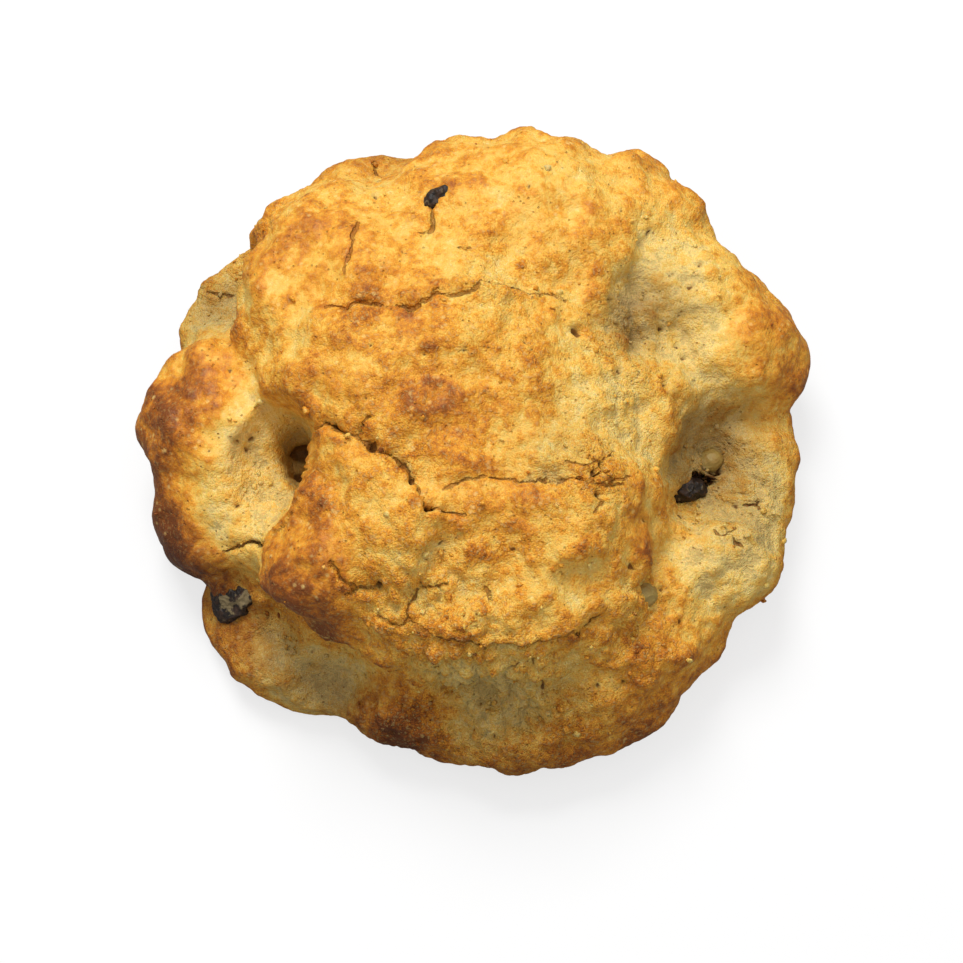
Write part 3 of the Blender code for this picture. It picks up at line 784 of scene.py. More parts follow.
@dataclass(frozen=True)
class CrustFinish:
    """Baked dough: pale in the hollows, gold to brown where the oven reached it."""

    stops: tuple[tuple[float, Colour], ...] = (
        (0.0, (0.64, 0.465, 0.155)),
        (0.12, (0.86, 0.625, 0.205)),
        (0.24, (0.80, 0.520, 0.115)),
        (0.40, (0.82, 0.460, 0.075)),
        (0.53, (0.74, 0.325, 0.028)),
        (0.69, (0.58, 0.205, 0.014)),
        (0.84, (0.37, 0.110, 0.009)),
        (1.0, (0.20, 0.055, 0.008)),
    )
    # The crack, pore and deep colours are painted shade. The crack colour is a browner crust darkened
    # further as painted shade, the pore colour is dark brown in small pores and creases, and the deep colour
    # is near black at the bottoms of cracks and pits.
    crack_shade_colour: Colour = (0.34, 0.115, 0.012)
    crumb_colour: Colour = (0.86, 0.60, 0.20)
    pore_shade_colour: Colour = (0.34, 0.13, 0.015)
    deep_shade_colour: Colour = (0.13, 0.042, 0.006)
    # Painted shade: the tint that the dull patches multiply into the colour.
    painted_shade_tint: Colour = (0.44, 0.39, 0.42)
    broad_cell: float = 8.0
    middle_cell: float = 2.6
    small_cell: float = 1.1
    fine_cell: float = 0.5
    grain_cell: float = 0.25
    fleck_cell: float = 1.3
    # Painted shade: dark dots at small pores, about this far apart.
    pore_shade_dot_cell: float = 0.9
    pebble_cell: float = 0.75
    wander_cell: float = 0.55
    wander: float = 0.55
    roughness: float = 0.50
    specular: float = 0.22
    coat: float = 0.07
    coat_roughness: float = 0.38
    glow: float = 0.2
    glow_colour: Colour = (1.0, 0.45, 0.18)
    glow_reach: float = 1.2

    def material(self) -> bpy.types.Material:
        """The crust's material.

        How baked a point is, from its mark and from noise at five sizes, gives its colour; pale
        crumb is laid over it, then painted shade: dark dots at small pores, dark brown to near black in
        the cracks, creases and pits, and the dull patches, which dim and grey the whole where shade falls.

        Returns:
            The material, for a mesh that carries every mark.
        """
        sheet = Sheet("crust_baked")
        broad = sheet.noise(self.broad_cell, 3.0) - 0.5
        middle = sheet.noise(self.middle_cell, 3.0) - 0.5
        small = sheet.noise(self.small_cell) - 0.5
        fine = sheet.noise(self.fine_cell) - 0.5
        grain = sheet.noise(self.grain_cell, 1.0) - 0.5
        crumbly = 0.35 + sheet.mark(Mark.CRUMB) * 0.75
        proud = sheet.mark(Mark.PROUD)
        rough_grain = (fine * 0.5 + grain * 0.4) * crumbly
        bake = sheet.mark(Mark.BAKE) + broad * 0.6 + middle * 0.75 + small * 0.6
        bake = bake + rough_grain + proud * 0.14
        colour = sheet.ramp(bake, self.stops)

        fleck = sheet.cells(self.fleck_cell).step(0.36, 0.1) * sheet.noise(2.7).step(0.48, 0.6)
        colour = sheet.blend(fleck * 0.5, colour, self.crumb_colour)
        pale_crumb = crumbly * fine.step(0.04, 0.16)
        colour = sheet.blend(pale_crumb * 0.4, colour, self.crumb_colour)
        # Painted shade: small dark dots, pressed in, where tiny pores open.
        pore_shade_dot = sheet.cells(self.pore_shade_dot_cell).step(0.26, 0.08) * sheet.noise(2.3).step(0.5, 0.62)
        colour = sheet.blend(pore_shade_dot * 0.55, colour, self.pore_shade_colour)

        wander = (sheet.noise(self.wander_cell) - 0.5) * self.wander
        gap = sheet.mark(Mark.CRACK) + wander
        # Painted shade in the cracks: darker brown across them, and near black, broken up by noise, where
        # they are deepest.
        split = gap.step(0.32, 0.08) * sheet.mark(Mark.NEAR).step(0.45, 0.12)
        colour = sheet.blend(split * 0.7, colour, self.crack_shade_colour)
        broken = sheet.noise(1.8).step(0.32, 0.62)
        colour = sheet.blend(sheet.mark(Mark.NEAR).step(0.0, -0.35) * broken * 0.7, colour, self.deep_shade_colour)
        # Painted shade in creases, pores and pits: dark brown, and near black where they are deepest.
        hollow = sheet.mark(Mark.HOLLOW)
        colour = sheet.blend(hollow * 0.4, colour, self.pore_shade_colour)
        colour = sheet.blend(hollow.step(0.55, 0.95) * 0.8, colour, self.deep_shade_colour)
        light = 1.02 - rough_grain * 0.4 + middle * 0.1
        colour = sheet.blend(1.0, colour, light, "MULTIPLY")
        # Painted shade: the dull patches dim and grey the colour where shade falls.
        colour = sheet.blend(sheet.mark(Mark.DULL) * (0.9 + middle), colour,
                             sheet.blend(1.0, colour, self.painted_shade_tint, "MULTIPLY"))

        height = (fine * 0.34 + grain * 0.16 - sheet.cells(self.pebble_cell, "SMOOTH_F1") * 0.22) * crumbly
        height = height + middle * 0.35 + small * 0.22 - split * 0.4 - pore_shade_dot * 0.22
        rough = self.roughness + crumbly * 0.22 - bake.step(0.45, 0.9) * 0.12 + fine * 0.2
        sheen = (1.0 - sheet.mark(Mark.CRUMB) * 1.3).most(0.0)
        return sheet.finish_solid(height, {
            "Base Color": colour, "Roughness": rough, "Specular IOR Level": self.specular,
            "Coat Weight": sheen * self.coat, "Coat Roughness": self.coat_roughness,
            "Subsurface Weight": self.glow, "Subsurface Radius": self.glow_colour,
            "Subsurface Scale": self.glow_reach * MM})


@dataclass(frozen=True)
class RaisinFinish:
    """Dried grape skin: near black, with a dull gloss on its ridges and crumbs stuck in its folds."""

    dark: Colour = (0.012, 0.008, 0.006)
    ridge: Colour = (0.045, 0.023, 0.013)
    dust: Colour = (0.22, 0.165, 0.08)
    roughness: float = 0.46
    specular: float = 0.3

    def material(self) -> bpy.types.Material:
        """The raisin's material.

        Returns:
            The material, dusty where a mesh's crumb mark is high.
        """
        sheet = Sheet("raisin_skin")
        wrinkle = sheet.noise(1.1, 3.0, 1.2)
        fine = sheet.noise(0.3, 3.0)
        colour = sheet.blend(wrinkle.step(0.4, 0.65), self.dark, self.ridge)
        dusty = sheet.noise(0.9, 3.0, 0.4).step(0.6, 0.72) * 0.5
        dusty = dusty.most((sheet.mark(Mark.CRUMB) + fine - 0.5).step(0.25, 0.6) * 0.9)
        colour = sheet.blend(dusty, colour, self.dust)
        return sheet.finish_solid(wrinkle * 0.25 + fine * 0.08, {
            "Base Color": colour, "Roughness": self.roughness + dusty * 0.4,
            "Specular IOR Level": self.specular})


@dataclass(frozen=True)
class NutFinish:
    """Toasted nut: cream darkened by painted shade, with faint brown grain."""

    # Painted shade: the cream is darkened to stand for the shade in the right bay; both nuts take it.
    cream_painted_shade: Colour = (0.33, 0.225, 0.055)
    toast: Colour = (0.30, 0.15, 0.02)
    roughness: float = 0.42

    def material(self) -> bpy.types.Material:
        """The nut's material.

        Returns:
            The material, cream darkened by painted shade, with toasted clouds.
        """
        sheet = Sheet("nut_cream")
        cloud = sheet.noise(1.6, 3.0, 0.5)
        fine = sheet.noise(0.35, 3.0)
        toasted = cloud.step(0.42, 0.7) * 0.8 + fine.step(0.5, 0.8) * 0.2
        colour = sheet.blend(toasted, self.cream_painted_shade, self.toast)
        return sheet.finish_solid(cloud * 0.2 + fine * 0.08, {
            "Base Color": colour, "Roughness": self.roughness + fine * 0.2})


# The dough.


@dataclass(frozen=True)
class Dough:
    """The dough's skin: a grid over the top and sides, and flat rings underneath."""

    cells: int = 300
    base_rings: int = 5
    core_reach: Point = (33.0, 33.0, 4.5)
    core_height: float = 6.5
    lowest_lift: float = -0.9
    rough_thickness: tuple[float, ...] = (8.0, 15.0, 19.0, 26.0, 29.0)
    search_from: float = 36.0
    search_steps: int = 61
    search_halvings: int = 12
    melt_passes: int = 6
    base_edge_round: float = 1.2
    base_snap: float = 0.15
    bumps: tuple[tuple[float, float], ...] = ((11.0, 1.3), (6.5, 1.0))
    fine_bumps: tuple[tuple[float, float], ...] = ((4.6, 0.95), (2.4, 0.46), (1.3, 0.2))
    billows: tuple[tuple[float, float], ...] = ((3.1, 0.55), (1.6, 0.34))
    billow_level: float = 0.3
    fold_squeeze: float = 0.8
    crumbly_level: float = 0.42
    crumbly_sway: float = 0.3
    crumbly_cell: float = 9.0
    crumbly_most: float = 1.6
    crumb_cell: float = 2.3
    crumb_height: float = 0.55
    dome_reach: float = 0.55
    dome_rise: float = 0.8
    crease_width: float = 0.16
    crease_depth: float = 0.45
    relief_full_height: float = 4.0
    side_relief: float = 0.6
    side_heights: Spot = (8.0, 22.0)
    crack_shake: tuple[tuple[float, float, Seed], ...] = (
        (2.4, 0.45, Seed.SHAKE), (1.1, 0.28, Seed.SHAKE_FINE))
    crack_pull: float = 0.9
    far_gap: float = 99.0
    least_slope: float = 0.4
    groove_width: float = 1.25
    lip_at: float = 2.6
    lip_width: float = 1.6
    lip_height: float = 0.16
    step_reach: float = 2.2
    bubble_cell: float = 4.0
    bubble_size: float = 0.12
    bubble_depth: float = 0.8
    bubble_patch: float = 6.0
    browning: float = 0.46
    stand_browning: float = 0.06
    least_browning: float = 0.13
    side_browning: float = 0.16
    rim_browning: float = 0.35
    base_browning: float = 0.9
    close_passes: int = 14
    wide_passes: int = 160
    mark_limit: float = 3.0

    def distance(self, points: Array) -> Array:
        """Signed distance to the dough: lumps melted together, hollows pressed out, base cut flat.

        Args:
            points: An (n, 3) array of points.

        Returns:
            The n distances, negative inside.
        """
        distance = LUMPS[0].distance(points)
        for lump in LUMPS[1:]:
            distance = smooth_union(distance, lump.distance(points), lump.blend)
        for hollow in HOLLOWS:
            distance = -smooth_union(-distance, hollow.distance(points), hollow.blend)
        return -smooth_union(-distance, points[:, 2], self.base_edge_round)

    def core_points(self, bearing: Array, lift: Array) -> tuple[Array, Array]:
        """Points and outward normals of the flattened ball inside the dough.

        The normal is the unit direction; the point is reach^2 n / |reach n|, raised to the core.

        Args:
            bearing: The n angles about Z.
            lift: The n angles up from the level.

        Returns:
            An (n, 3) array of points and one of normals.
        """
        flat = np.cos(lift)
        normal = np.stack([flat * np.cos(bearing), flat * np.sin(bearing), np.sin(lift)], axis=1)
        spread = np.array(self.core_reach) ** 2 * normal
        point = spread / np.sqrt(np.sum(spread * normal, axis=1, keepdims=True))
        point[:, 2] += self.core_height
        return point, normal

    def lift_for_reach(self, reach: Array) -> Array:
        """The core lift for a fraction of the way down the surface, so that rows are evenly spaced.

        Args:
            reach: The n fractions, 0 at the top and 1 at the rim.

        Returns:
            The n lifts, read off a rough outline by the length along it.
        """
        lift = np.linspace(math.pi / 2, self.lowest_lift, 1000)
        point, normal = self.core_points(np.zeros_like(lift), lift)
        lifts = (self.lowest_lift, 0.0, 0.9, 1.3, math.pi / 2)
        thickness = np.interp(lift, lifts, self.rough_thickness)
        outline = point + normal * thickness[:, None]
        length = np.concatenate([[0.0], np.cumsum(np.linalg.norm(np.diff(outline, axis=0), axis=1))])
        return np.interp(reach * length[-1], length, lift)

    def disc_grid(self) -> tuple[Array, Array]:
        """A square grid bent onto a disc: reach is the larger of |u| and |v|, bearing turns evenly.

        Returns:
            The reach, 0 at the centre and 1 at the rim, and the bearing of each grid point.
        """
        side = np.linspace(-1.0, 1.0, self.cells + 1)
        u, v = np.meshgrid(side, side, indexing="ij")
        reach = np.maximum(np.abs(u), np.abs(v))
        quarter = math.pi / 4
        safe_u = np.where(u == 0.0, 1.0, u)
        safe_v = np.where(v == 0.0, 1.0, v)
        from_x = quarter * v / safe_u + np.where(u < 0.0, math.pi, 0.0)
        from_y = math.pi / 2 - quarter * u / safe_v + np.where(v < 0.0, math.pi, 0.0)
        bearing = np.where(np.abs(u) > np.abs(v), from_x, from_y)
        return reach, np.where(reach == 0.0, 0.0, bearing)

    def outermost(self, start: Array, direction: Array) -> Array:
        """Distance along each ray to the outermost surface: stepped inwards, then halved.

        Args:
            start: An (n, 3) array of points inside the dough.
            direction: An (n, 3) array of unit directions.

        Returns:
            The n distances.
        """
        inside = np.zeros(len(start))
        outside = np.full(len(start), self.search_from)
        open_rays = np.arange(len(start))
        for reach in np.linspace(self.search_from, 0.0, self.search_steps):
            value = self.distance(start[open_rays] + direction[open_rays] * reach)
            inside[open_rays[value < 0.0]] = reach
            outside[open_rays[value >= 0.0]] = reach
            open_rays = open_rays[value >= 0.0]
            if len(open_rays) == 0:
                break
        for _ in range(self.search_halvings):
            middle = 0.5 * (inside + outside)
            hit = self.distance(start + direction * middle[:, None]) < 0.0
            inside = np.where(hit, middle, inside)
            outside = np.where(hit, outside, middle)
        return 0.5 * (inside + outside)

    def form(self) -> Array:
        """The dough's smooth form, with its broad bumps.

        Returns:
            A grid of points in millimetres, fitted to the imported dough's box.
        """
        side = self.cells + 1
        reach, bearing = self.disc_grid()
        start, direction = self.core_points(bearing.ravel(), self.lift_for_reach(reach.ravel()))
        thickness = self.outermost(start, direction).reshape(side, side)
        thickness = softened(thickness, self.melt_passes)
        points = start + direction * thickness.reshape(-1, 1)
        points[:, 2] = np.where(points[:, 2] < self.base_snap, 0.0, points[:, 2])
        grid = points.reshape(side, side, 3)
        push = layered_noise(points, self.bumps, Seed.MELT)
        push = push * np.clip(points[:, 2] / self.relief_full_height, 0.0, 1.0)
        return self.fitted(grid + grid_normals(grid) * push.reshape(side, side, 1))

    def fitted(self, grid: Array) -> Array:
        """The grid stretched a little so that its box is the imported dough's.

        Args:
            grid: A grid of points, in millimetres.

        Returns:
            The grid, stretched along each axis.
        """
        low, high = (np.array(corner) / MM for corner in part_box("dough"))
        own_low, own_high = grid.min(axis=(0, 1)), grid.max(axis=(0, 1))
        return low + (grid - own_low) * (high - low) / (own_high - own_low)

    def crack_field(self, points: Array, slope: Array) -> tuple[Array, Array, Array, Array]:
        """Where each point lies beside its nearest crack.

        The gap is the distance seen from above to the nearest point of a line, divided by the
        slope so that it is true on the skin too, and signed by the side of the line.  Width,
        depth and step die out towards the line's ends as the root of 4t(1 - t).

        Args:
            points: An (n, 3) array of points.
            slope: The upward part of each point's normal.

        Returns:
            The signed gap, the crack's half width there, its depth and its step.
        """
        shake = np.zeros((len(points), 2))
        for cell, reach, seed in self.crack_shake:
            pair = [gradient_noise(points, cell, seed + axis) for axis in range(2)]
            shake += np.stack(pair, axis=1) * reach
        plan = points[:, :2] + shake
        best = np.full(len(points), self.far_gap)
        gap = np.full(len(points), self.far_gap)
        width = np.full(len(points), 0.1)
        depth = np.zeros(len(points))
        step = np.zeros(len(points))
        for crack in CRACKS:
            line = np.array(crack.line)
            lengths = np.linalg.norm(np.diff(line, axis=0), axis=1)
            done = np.concatenate([[0.0], np.cumsum(lengths)])
            for start, end, length, before in zip(line[:-1], line[1:], lengths, done[:-1]):
                along = np.clip(((plan - start) @ (end - start)) / length ** 2, 0.0, 1.0)
                offset = plan - start - along[:, None] * (end - start)
                apart = np.linalg.norm(offset, axis=1) / np.maximum(slope, self.least_slope)
                nearer = apart < best
                best = np.where(nearer, apart, best)
                run, rise = end - start
                side = np.sign(run * offset[:, 1] - rise * offset[:, 0])
                share = (before + along * length) / done[-1]
                taper = np.sqrt(np.clip(4.0 * share * (1.0 - share), 0.0, 1.0))
                gap = np.where(nearer, apart * np.where(side == 0.0, 1.0, side), gap)
                width = np.where(nearer, crack.half_width * (0.35 + 0.65 * taper), width)
                depth = np.where(nearer, crack.depth * (0.3 + 0.7 * taper), depth)
                step = np.where(nearer, crack.step * taper, step)
        uneven = np.clip(0.75 + 1.9 * gradient_noise(points, 1.9, Seed.UNEVEN), 0.08, 2.1)
        return gap, width * uneven, depth, step

    def drawn_to_cracks(self, grid: Array) -> Array:
        """The grid with its points drawn towards the cracks, so that a crack has a sharp bottom.

        A point at a gap g within the pull distance p of a crack moves across it to g * g / p,
        down the gap's slope along the skin, found from the grid's two slopes.

        Args:
            grid: The smooth form, in millimetres.

        Returns:
            The grid, as large as before.
        """
        side = self.cells + 1
        normal = grid_normals(grid).reshape(-1, 3)
        points = grid.reshape(-1, 3)
        gap = np.abs(self.crack_field(points, normal[:, 2])[0])
        field = np.minimum(gap, 2.0 * self.crack_pull).reshape(side, side)
        along_u, along_v = np.gradient(grid, axis=0), np.gradient(grid, axis=1)
        rise_u, rise_v = np.gradient(field, axis=0), np.gradient(field, axis=1)
        uu, uv, vv = (np.sum(a * b, axis=2) for a, b in
                      ((along_u, along_u), (along_u, along_v), (along_v, along_v)))
        spread = np.maximum(uu * vv - uv * uv, 1e-9)
        slope = ((vv * rise_u - uv * rise_v) / spread)[..., None] * along_u
        slope += ((uu * rise_v - uv * rise_u) / spread)[..., None] * along_v
        slope = slope.reshape(-1, 3)
        slope /= np.maximum(np.linalg.norm(slope, axis=1, keepdims=True), 0.6)
        move = np.where(gap < self.crack_pull, gap - gap ** 2 / self.crack_pull, 0.0)
        return (points - slope * move[:, None]).reshape(side, side, 3)

    def crumbliness(self, points: Array) -> Array:
        """How crumbly the crust is: a level, the tables' patches and some noise, added up.

        Args:
            points: An (n, 3) array of points.

        Returns:
            The n amounts, 0 for a smooth crust.
        """
        crumbly = self.crumbly_level + patch_sum(CRUMBLY, points) - patch_sum(SMOOTH, points)
        crumbly += self.crumbly_sway * gradient_noise(points, self.crumbly_cell, Seed.CRUMBLY)
        return np.clip(crumbly, 0.0, self.crumbly_most)

    def crumb_relief(self, points: Array, crumbly: Array) -> Array:
        """How far bumps, billows and crumbs push the skin out.

        Bumps are layered noise, and billows its size without its sign.  Crumbs are domes round
        strewn points, with creases where two points are as near as each other.

        Args:
            points: An (n, 3) array of points.
            crumbly: How crumbly each point is.

        Returns:
            The n pushes, in millimetres.
        """
        push = layered_noise(points, self.fine_bumps, Seed.FINE)
        nearest, following = cell_noise(points, self.crumb_cell, Seed.CRUMB)
        crease = np.exp(-((following - nearest) / self.crease_width) ** 2)
        domes = (self.dome_reach - nearest) * self.dome_rise - crease * self.crease_depth
        folds = points * np.array((1.0, 1.0, 1.0 + self.fold_squeeze))
        billow = np.zeros(len(points))
        for number, (cell, height) in enumerate(self.billows):
            fold = np.abs(gradient_noise(folds, cell, Seed.BILLOW + number))
            billow += height * (fold - self.billow_level)
        push = push * (0.6 + 0.5 * crumbly) + (0.15 + crumbly) * billow
        push += self.crumb_height * crumbly ** 2 * domes
        return push + patch_sum(SWELLS, points)

    def pits(self, points: Array) -> tuple[Array, Array]:
        """Bubble holes, strewn in patches, and the tabled pores, each as deep as exp(-off^3).

        Args:
            points: An (n, 3) array of points.

        Returns:
            How deep each point is pressed in, and how much of a pit it is, from 0 to 1.
        """
        bubble = cell_noise(points, self.bubble_cell, Seed.BUBBLE)[0]
        patches = gradient_noise(points, self.bubble_patch, Seed.BUBBLE + 1)
        bubble = np.exp(-(bubble / self.bubble_size) ** 3) * smooth_step(0.0, 0.25, patches)
        depth = self.bubble_depth * bubble
        pit = 0.8 * bubble
        for pore in PORES:
            off = np.linalg.norm(points[:, :2] - np.array(pore.at), axis=1) / pore.radius
            depth += pore.depth * np.exp(-off ** 3)
            pit = np.maximum(pit, smooth_step(1.25, 0.5, off))
        return depth, pit

    def relief(self, grid: Array) -> tuple[Array, dict[Mark, Array]]:
        """The crust's relief, and what its finish needs to know.

        Added up along the skin's normals: bumps, billows and crumbs, then cracks as grooves with
        a raised lip and a stepped side, then bubble holes and pores.  It dies out at the base.

        Args:
            grid: The smooth form, in millimetres.

        Returns:
            The grid with its relief, and the marks for each point.
        """
        side = self.cells + 1
        points = grid.reshape(-1, 3)
        normal = grid_normals(grid).reshape(-1, 3)
        crumbly = self.crumbliness(points)
        push = self.crumb_relief(points, crumbly)
        gap, width, depth, step = self.crack_field(points, normal[:, 2])
        apart = np.abs(gap)
        groove = np.exp(-(apart / (self.groove_width * width)) ** 2)
        lip = np.exp(-((apart - self.lip_at * width) / (self.lip_width * width)) ** 2)
        push = push * (1.0 - 0.7 * groove) - depth * groove + self.lip_height * depth * lip
        push -= step * np.sign(gap) * np.exp(-apart / self.step_reach) * smooth_step(0.0, 0.3, apart)
        hole, pit = self.pits(points)
        push -= hole
        upper = smooth_step(*self.side_heights, points[:, 2])
        push *= np.clip(points[:, 2] / self.relief_full_height, 0.0, 1.0)
        push *= self.side_relief + (1.0 - self.side_relief) * upper
        shaped = self.fitted(grid + (normal * push[:, None]).reshape(side, side, 3))
        marks = self.marks(shaped)
        marks[Mark.CRACK] = np.clip(apart, 0.0, self.mark_limit)
        marks[Mark.NEAR] = np.clip(apart - width, -1.0, self.mark_limit)
        # Pits add their painted shade to that of the creases.
        marks[Mark.HOLLOW] = np.clip(marks[Mark.HOLLOW] + pit, 0.0, 1.0)
        marks[Mark.CRUMB] = np.clip(crumbly, 0.0, 1.0)
        return shaped, marks

    def marks(self, grid: Array) -> dict[Mark, Array]:
        """How baked and proud the finished skin is, and how much painted shade it takes.

        It is proud where it lies outside the grid smoothed a little, takes painted crease shade where
        it lies inside, and is more baked where it lies outside the grid smoothed a lot.  The dull mark
        is painted shade from its patches.

        Args:
            grid: The skin's grid of points, in millimetres.

        Returns:
            One number for each point under each of the four marks.
        """
        points = grid.reshape(-1, 3)
        normal = grid_normals(grid).reshape(-1, 3)
        close = softened(grid, self.close_passes).reshape(-1, 3)
        wide = softened(grid, self.wide_passes).reshape(-1, 3)
        proud = np.sum((points - close) * normal, axis=1)
        stand = np.sum((points - wide) * normal, axis=1)
        height = points[:, 2]
        browned = self.browning + self.stand_browning * np.clip(stand, -2.0, 1.5)
        browned += patch_sum(BAKED, points) - patch_sum(PALE, points)
        browned += self.side_browning * smooth_step(20.0, 8.0, height)
        browned += self.rim_browning * smooth_step(3.0, 0.5, height)
        return {
            Mark.BAKE: np.maximum(browned, self.least_browning),
            Mark.PROUD: np.clip(proud * 2.0, -1.0, 1.0),
            Mark.HOLLOW: smooth_step(-0.08, -0.5, proud) * 0.5,
            Mark.DULL: np.clip(patch_sum(DULL, points), 0.0, 1.0),
        }

    def quads(self) -> tuple[Array, Array]:
        """The grid's faces, each with its diagonal running outwards, and the rim.

        Returns:
            An (n, 4) array of indices, and the rim's indices in order.
        """
        side = self.cells + 1
        index = np.arange(side ** 2).reshape(side, side)
        corners = (index[:-1, :-1], index[1:, :-1], index[1:, 1:], index[:-1, 1:])
        quads = np.stack(corners, axis=-1)
        half = side // 2
        quads[:half, half:] = np.roll(quads[:half, half:], 1, axis=-1)
        quads[half:, :half] = np.roll(quads[half:, :half], 1, axis=-1)
        rim = np.concatenate([index[:-1, 0], index[-1, :-1], index[:0:-1, -1], index[0, :0:-1]])
        return quads.reshape(-1, 4), rim

    def build(self) -> bpy.types.Object:
        """The dough as one closed mesh, in its finish.

        The base is filled with rings that shrink from the rim to its middle, and a fan inside.

        Returns:
            The dough.
        """
        grid, marks = self.relief(self.drawn_to_cracks(self.form()))
        quads, rim = self.quads()
        points = grid.reshape(-1, 3)
        points[rim, 2] = 0.0
        centre = points[rim].mean(axis=0)
        around = len(rim)
        share = (np.arange(1, self.base_rings + 1) / (self.base_rings + 1.0)) ** 2
        rings = points[rim][None] + (centre - points[rim])[None] * share[:, None, None]
        first = len(points)
        loops = np.vstack([rim[None], first + np.arange(self.base_rings * around).reshape(-1, around)])
        outer, inner = loops[:-1], loops[1:]
        under = np.stack([np.roll(outer, -1, axis=1), outer, inner, np.roll(inner, -1, axis=1)], axis=-1)
        last = np.full(around, first + self.base_rings * around)
        fan = np.stack([np.roll(loops[-1], -1), loops[-1], last], axis=1)
        points = np.vstack([points, rings.reshape(-1, 3), centre])
        extra = len(points) - first
        below = {Mark.BAKE: self.base_browning, Mark.CRACK: self.mark_limit, Mark.NEAR: self.mark_limit}
        filled = {mark: np.append(values, np.full(extra, below.get(mark, 0.0)))
                  for mark, values in marks.items()}
        thing = mesh_object("cookie_dough", points * MM, [quads, under.reshape(-1, 4), fan], filled)
        thing.data.materials.append(CrustFinish().material())
        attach(thing, "root")
        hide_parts("dough")
        return thing


@dataclass(frozen=True)
class Crumbs:
    """Loose crumbs, half sunk in the skin, most of them where it is crumbly or beside a crack."""

    count: int = 520
    smallest: float = 0.3
    spread: float = 0.65
    flatness: float = 0.7
    unevenness: float = 0.6
    rows: int = 5
    columns: int = 8
    sunk: float = 0.25
    lowest: float = 9.0
    rim_margin: float = 3.0
    bake_spread: float = 0.16
    seed: int = 11

    def places(self, dough: bpy.types.Object, rng: np.random.Generator) -> Array:
        """The dough's vertices that get a crumb, drawn by how crumbly and how near a crack they are.

        Args:
            dough: The finished dough.
            rng: Where the draws come from.

        Returns:
            The chosen vertices' indices.
        """
        points = vertex_vectors(dough, "co") / MM
        crumbly = mark_values(dough, Mark.CRUMB)
        near = mark_values(dough, Mark.NEAR)
        half = np.abs(points).max(axis=0) - self.rim_margin
        allowed = (points[:, 2] > self.lowest) & np.all(np.abs(points[:, :2]) < half[:2], axis=1)
        beside = 2.0 * np.exp(-(near / 0.7) ** 2) * (near > 0.15)
        weight = np.where(allowed, 0.05 + crumbly ** 3 + beside, 0.0)
        return rng.choice(len(points), self.count, replace=False, p=weight / weight.sum())

    def build(self, dough: bpy.types.Object) -> bpy.types.Object:
        """The crumbs as one mesh of separate closed lumps, in the crust's finish.

        Args:
            dough: The finished dough, whose marks and finish the crumbs take over.

        Returns:
            The crumbs.
        """
        rng = np.random.default_rng(self.seed)
        chosen = self.places(dough, rng)
        down, around, net = ball_net(self.rows, self.columns)
        flat = np.sin(down)
        ball = np.stack([flat * np.cos(around), flat * np.sin(around), np.cos(down)], axis=-1)
        size = 0.5 * (self.smallest + self.spread * rng.random(self.count) ** 2)[:, None, None]
        stretch = 1.0 + (1.0 - self.flatness) * rng.normal(size=(self.count, 1, 3))
        lumps = ball * size * np.clip(stretch, 0.6, 1.5)
        lumps = lumps * (1.0 + self.unevenness * (rng.random((self.count, len(ball), 1)) - 0.5))
        turn = np.linalg.qr(rng.normal(size=(self.count, 3, 3)))[0]
        turn = turn * np.sign(np.linalg.det(turn))[:, None, None]
        lumps = np.einsum("nij,npj->npi", turn, lumps)
        outward = vertex_vectors(dough, "normal")[chosen][:, None]
        points = vertex_vectors(dough, "co")[chosen][:, None] / MM + lumps
        points = points + outward * size * (0.5 - self.sunk)
        first = np.arange(self.count)[:, None, None] * len(ball)
        faces = [(group + first).reshape(-1, group.shape[1]) for group in net]
        # Each crumb takes the dough's marks where it sits, including the dull patches' painted shade; its
        # crack marks and painted crease shade are cleared.
        each = {mark: mark_values(dough, mark)[chosen] for mark in Mark}
        each[Mark.BAKE] += self.bake_spread * rng.normal(size=self.count)
        far, none = np.full(self.count, Dough.mark_limit), np.zeros(self.count)
        each |= {Mark.CRACK: far, Mark.NEAR: far, Mark.HOLLOW: none, Mark.PROUD: none}
        marks = {mark: np.repeat(values, len(ball)) for mark, values in each.items()}
        thing = mesh_object("crust_crumbs", points.reshape(-1, 3) * MM, faces, marks)
        thing.data.materials.append(dough.data.materials[0])
        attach(thing, "root")
        return thing


# What is baked into the crust.


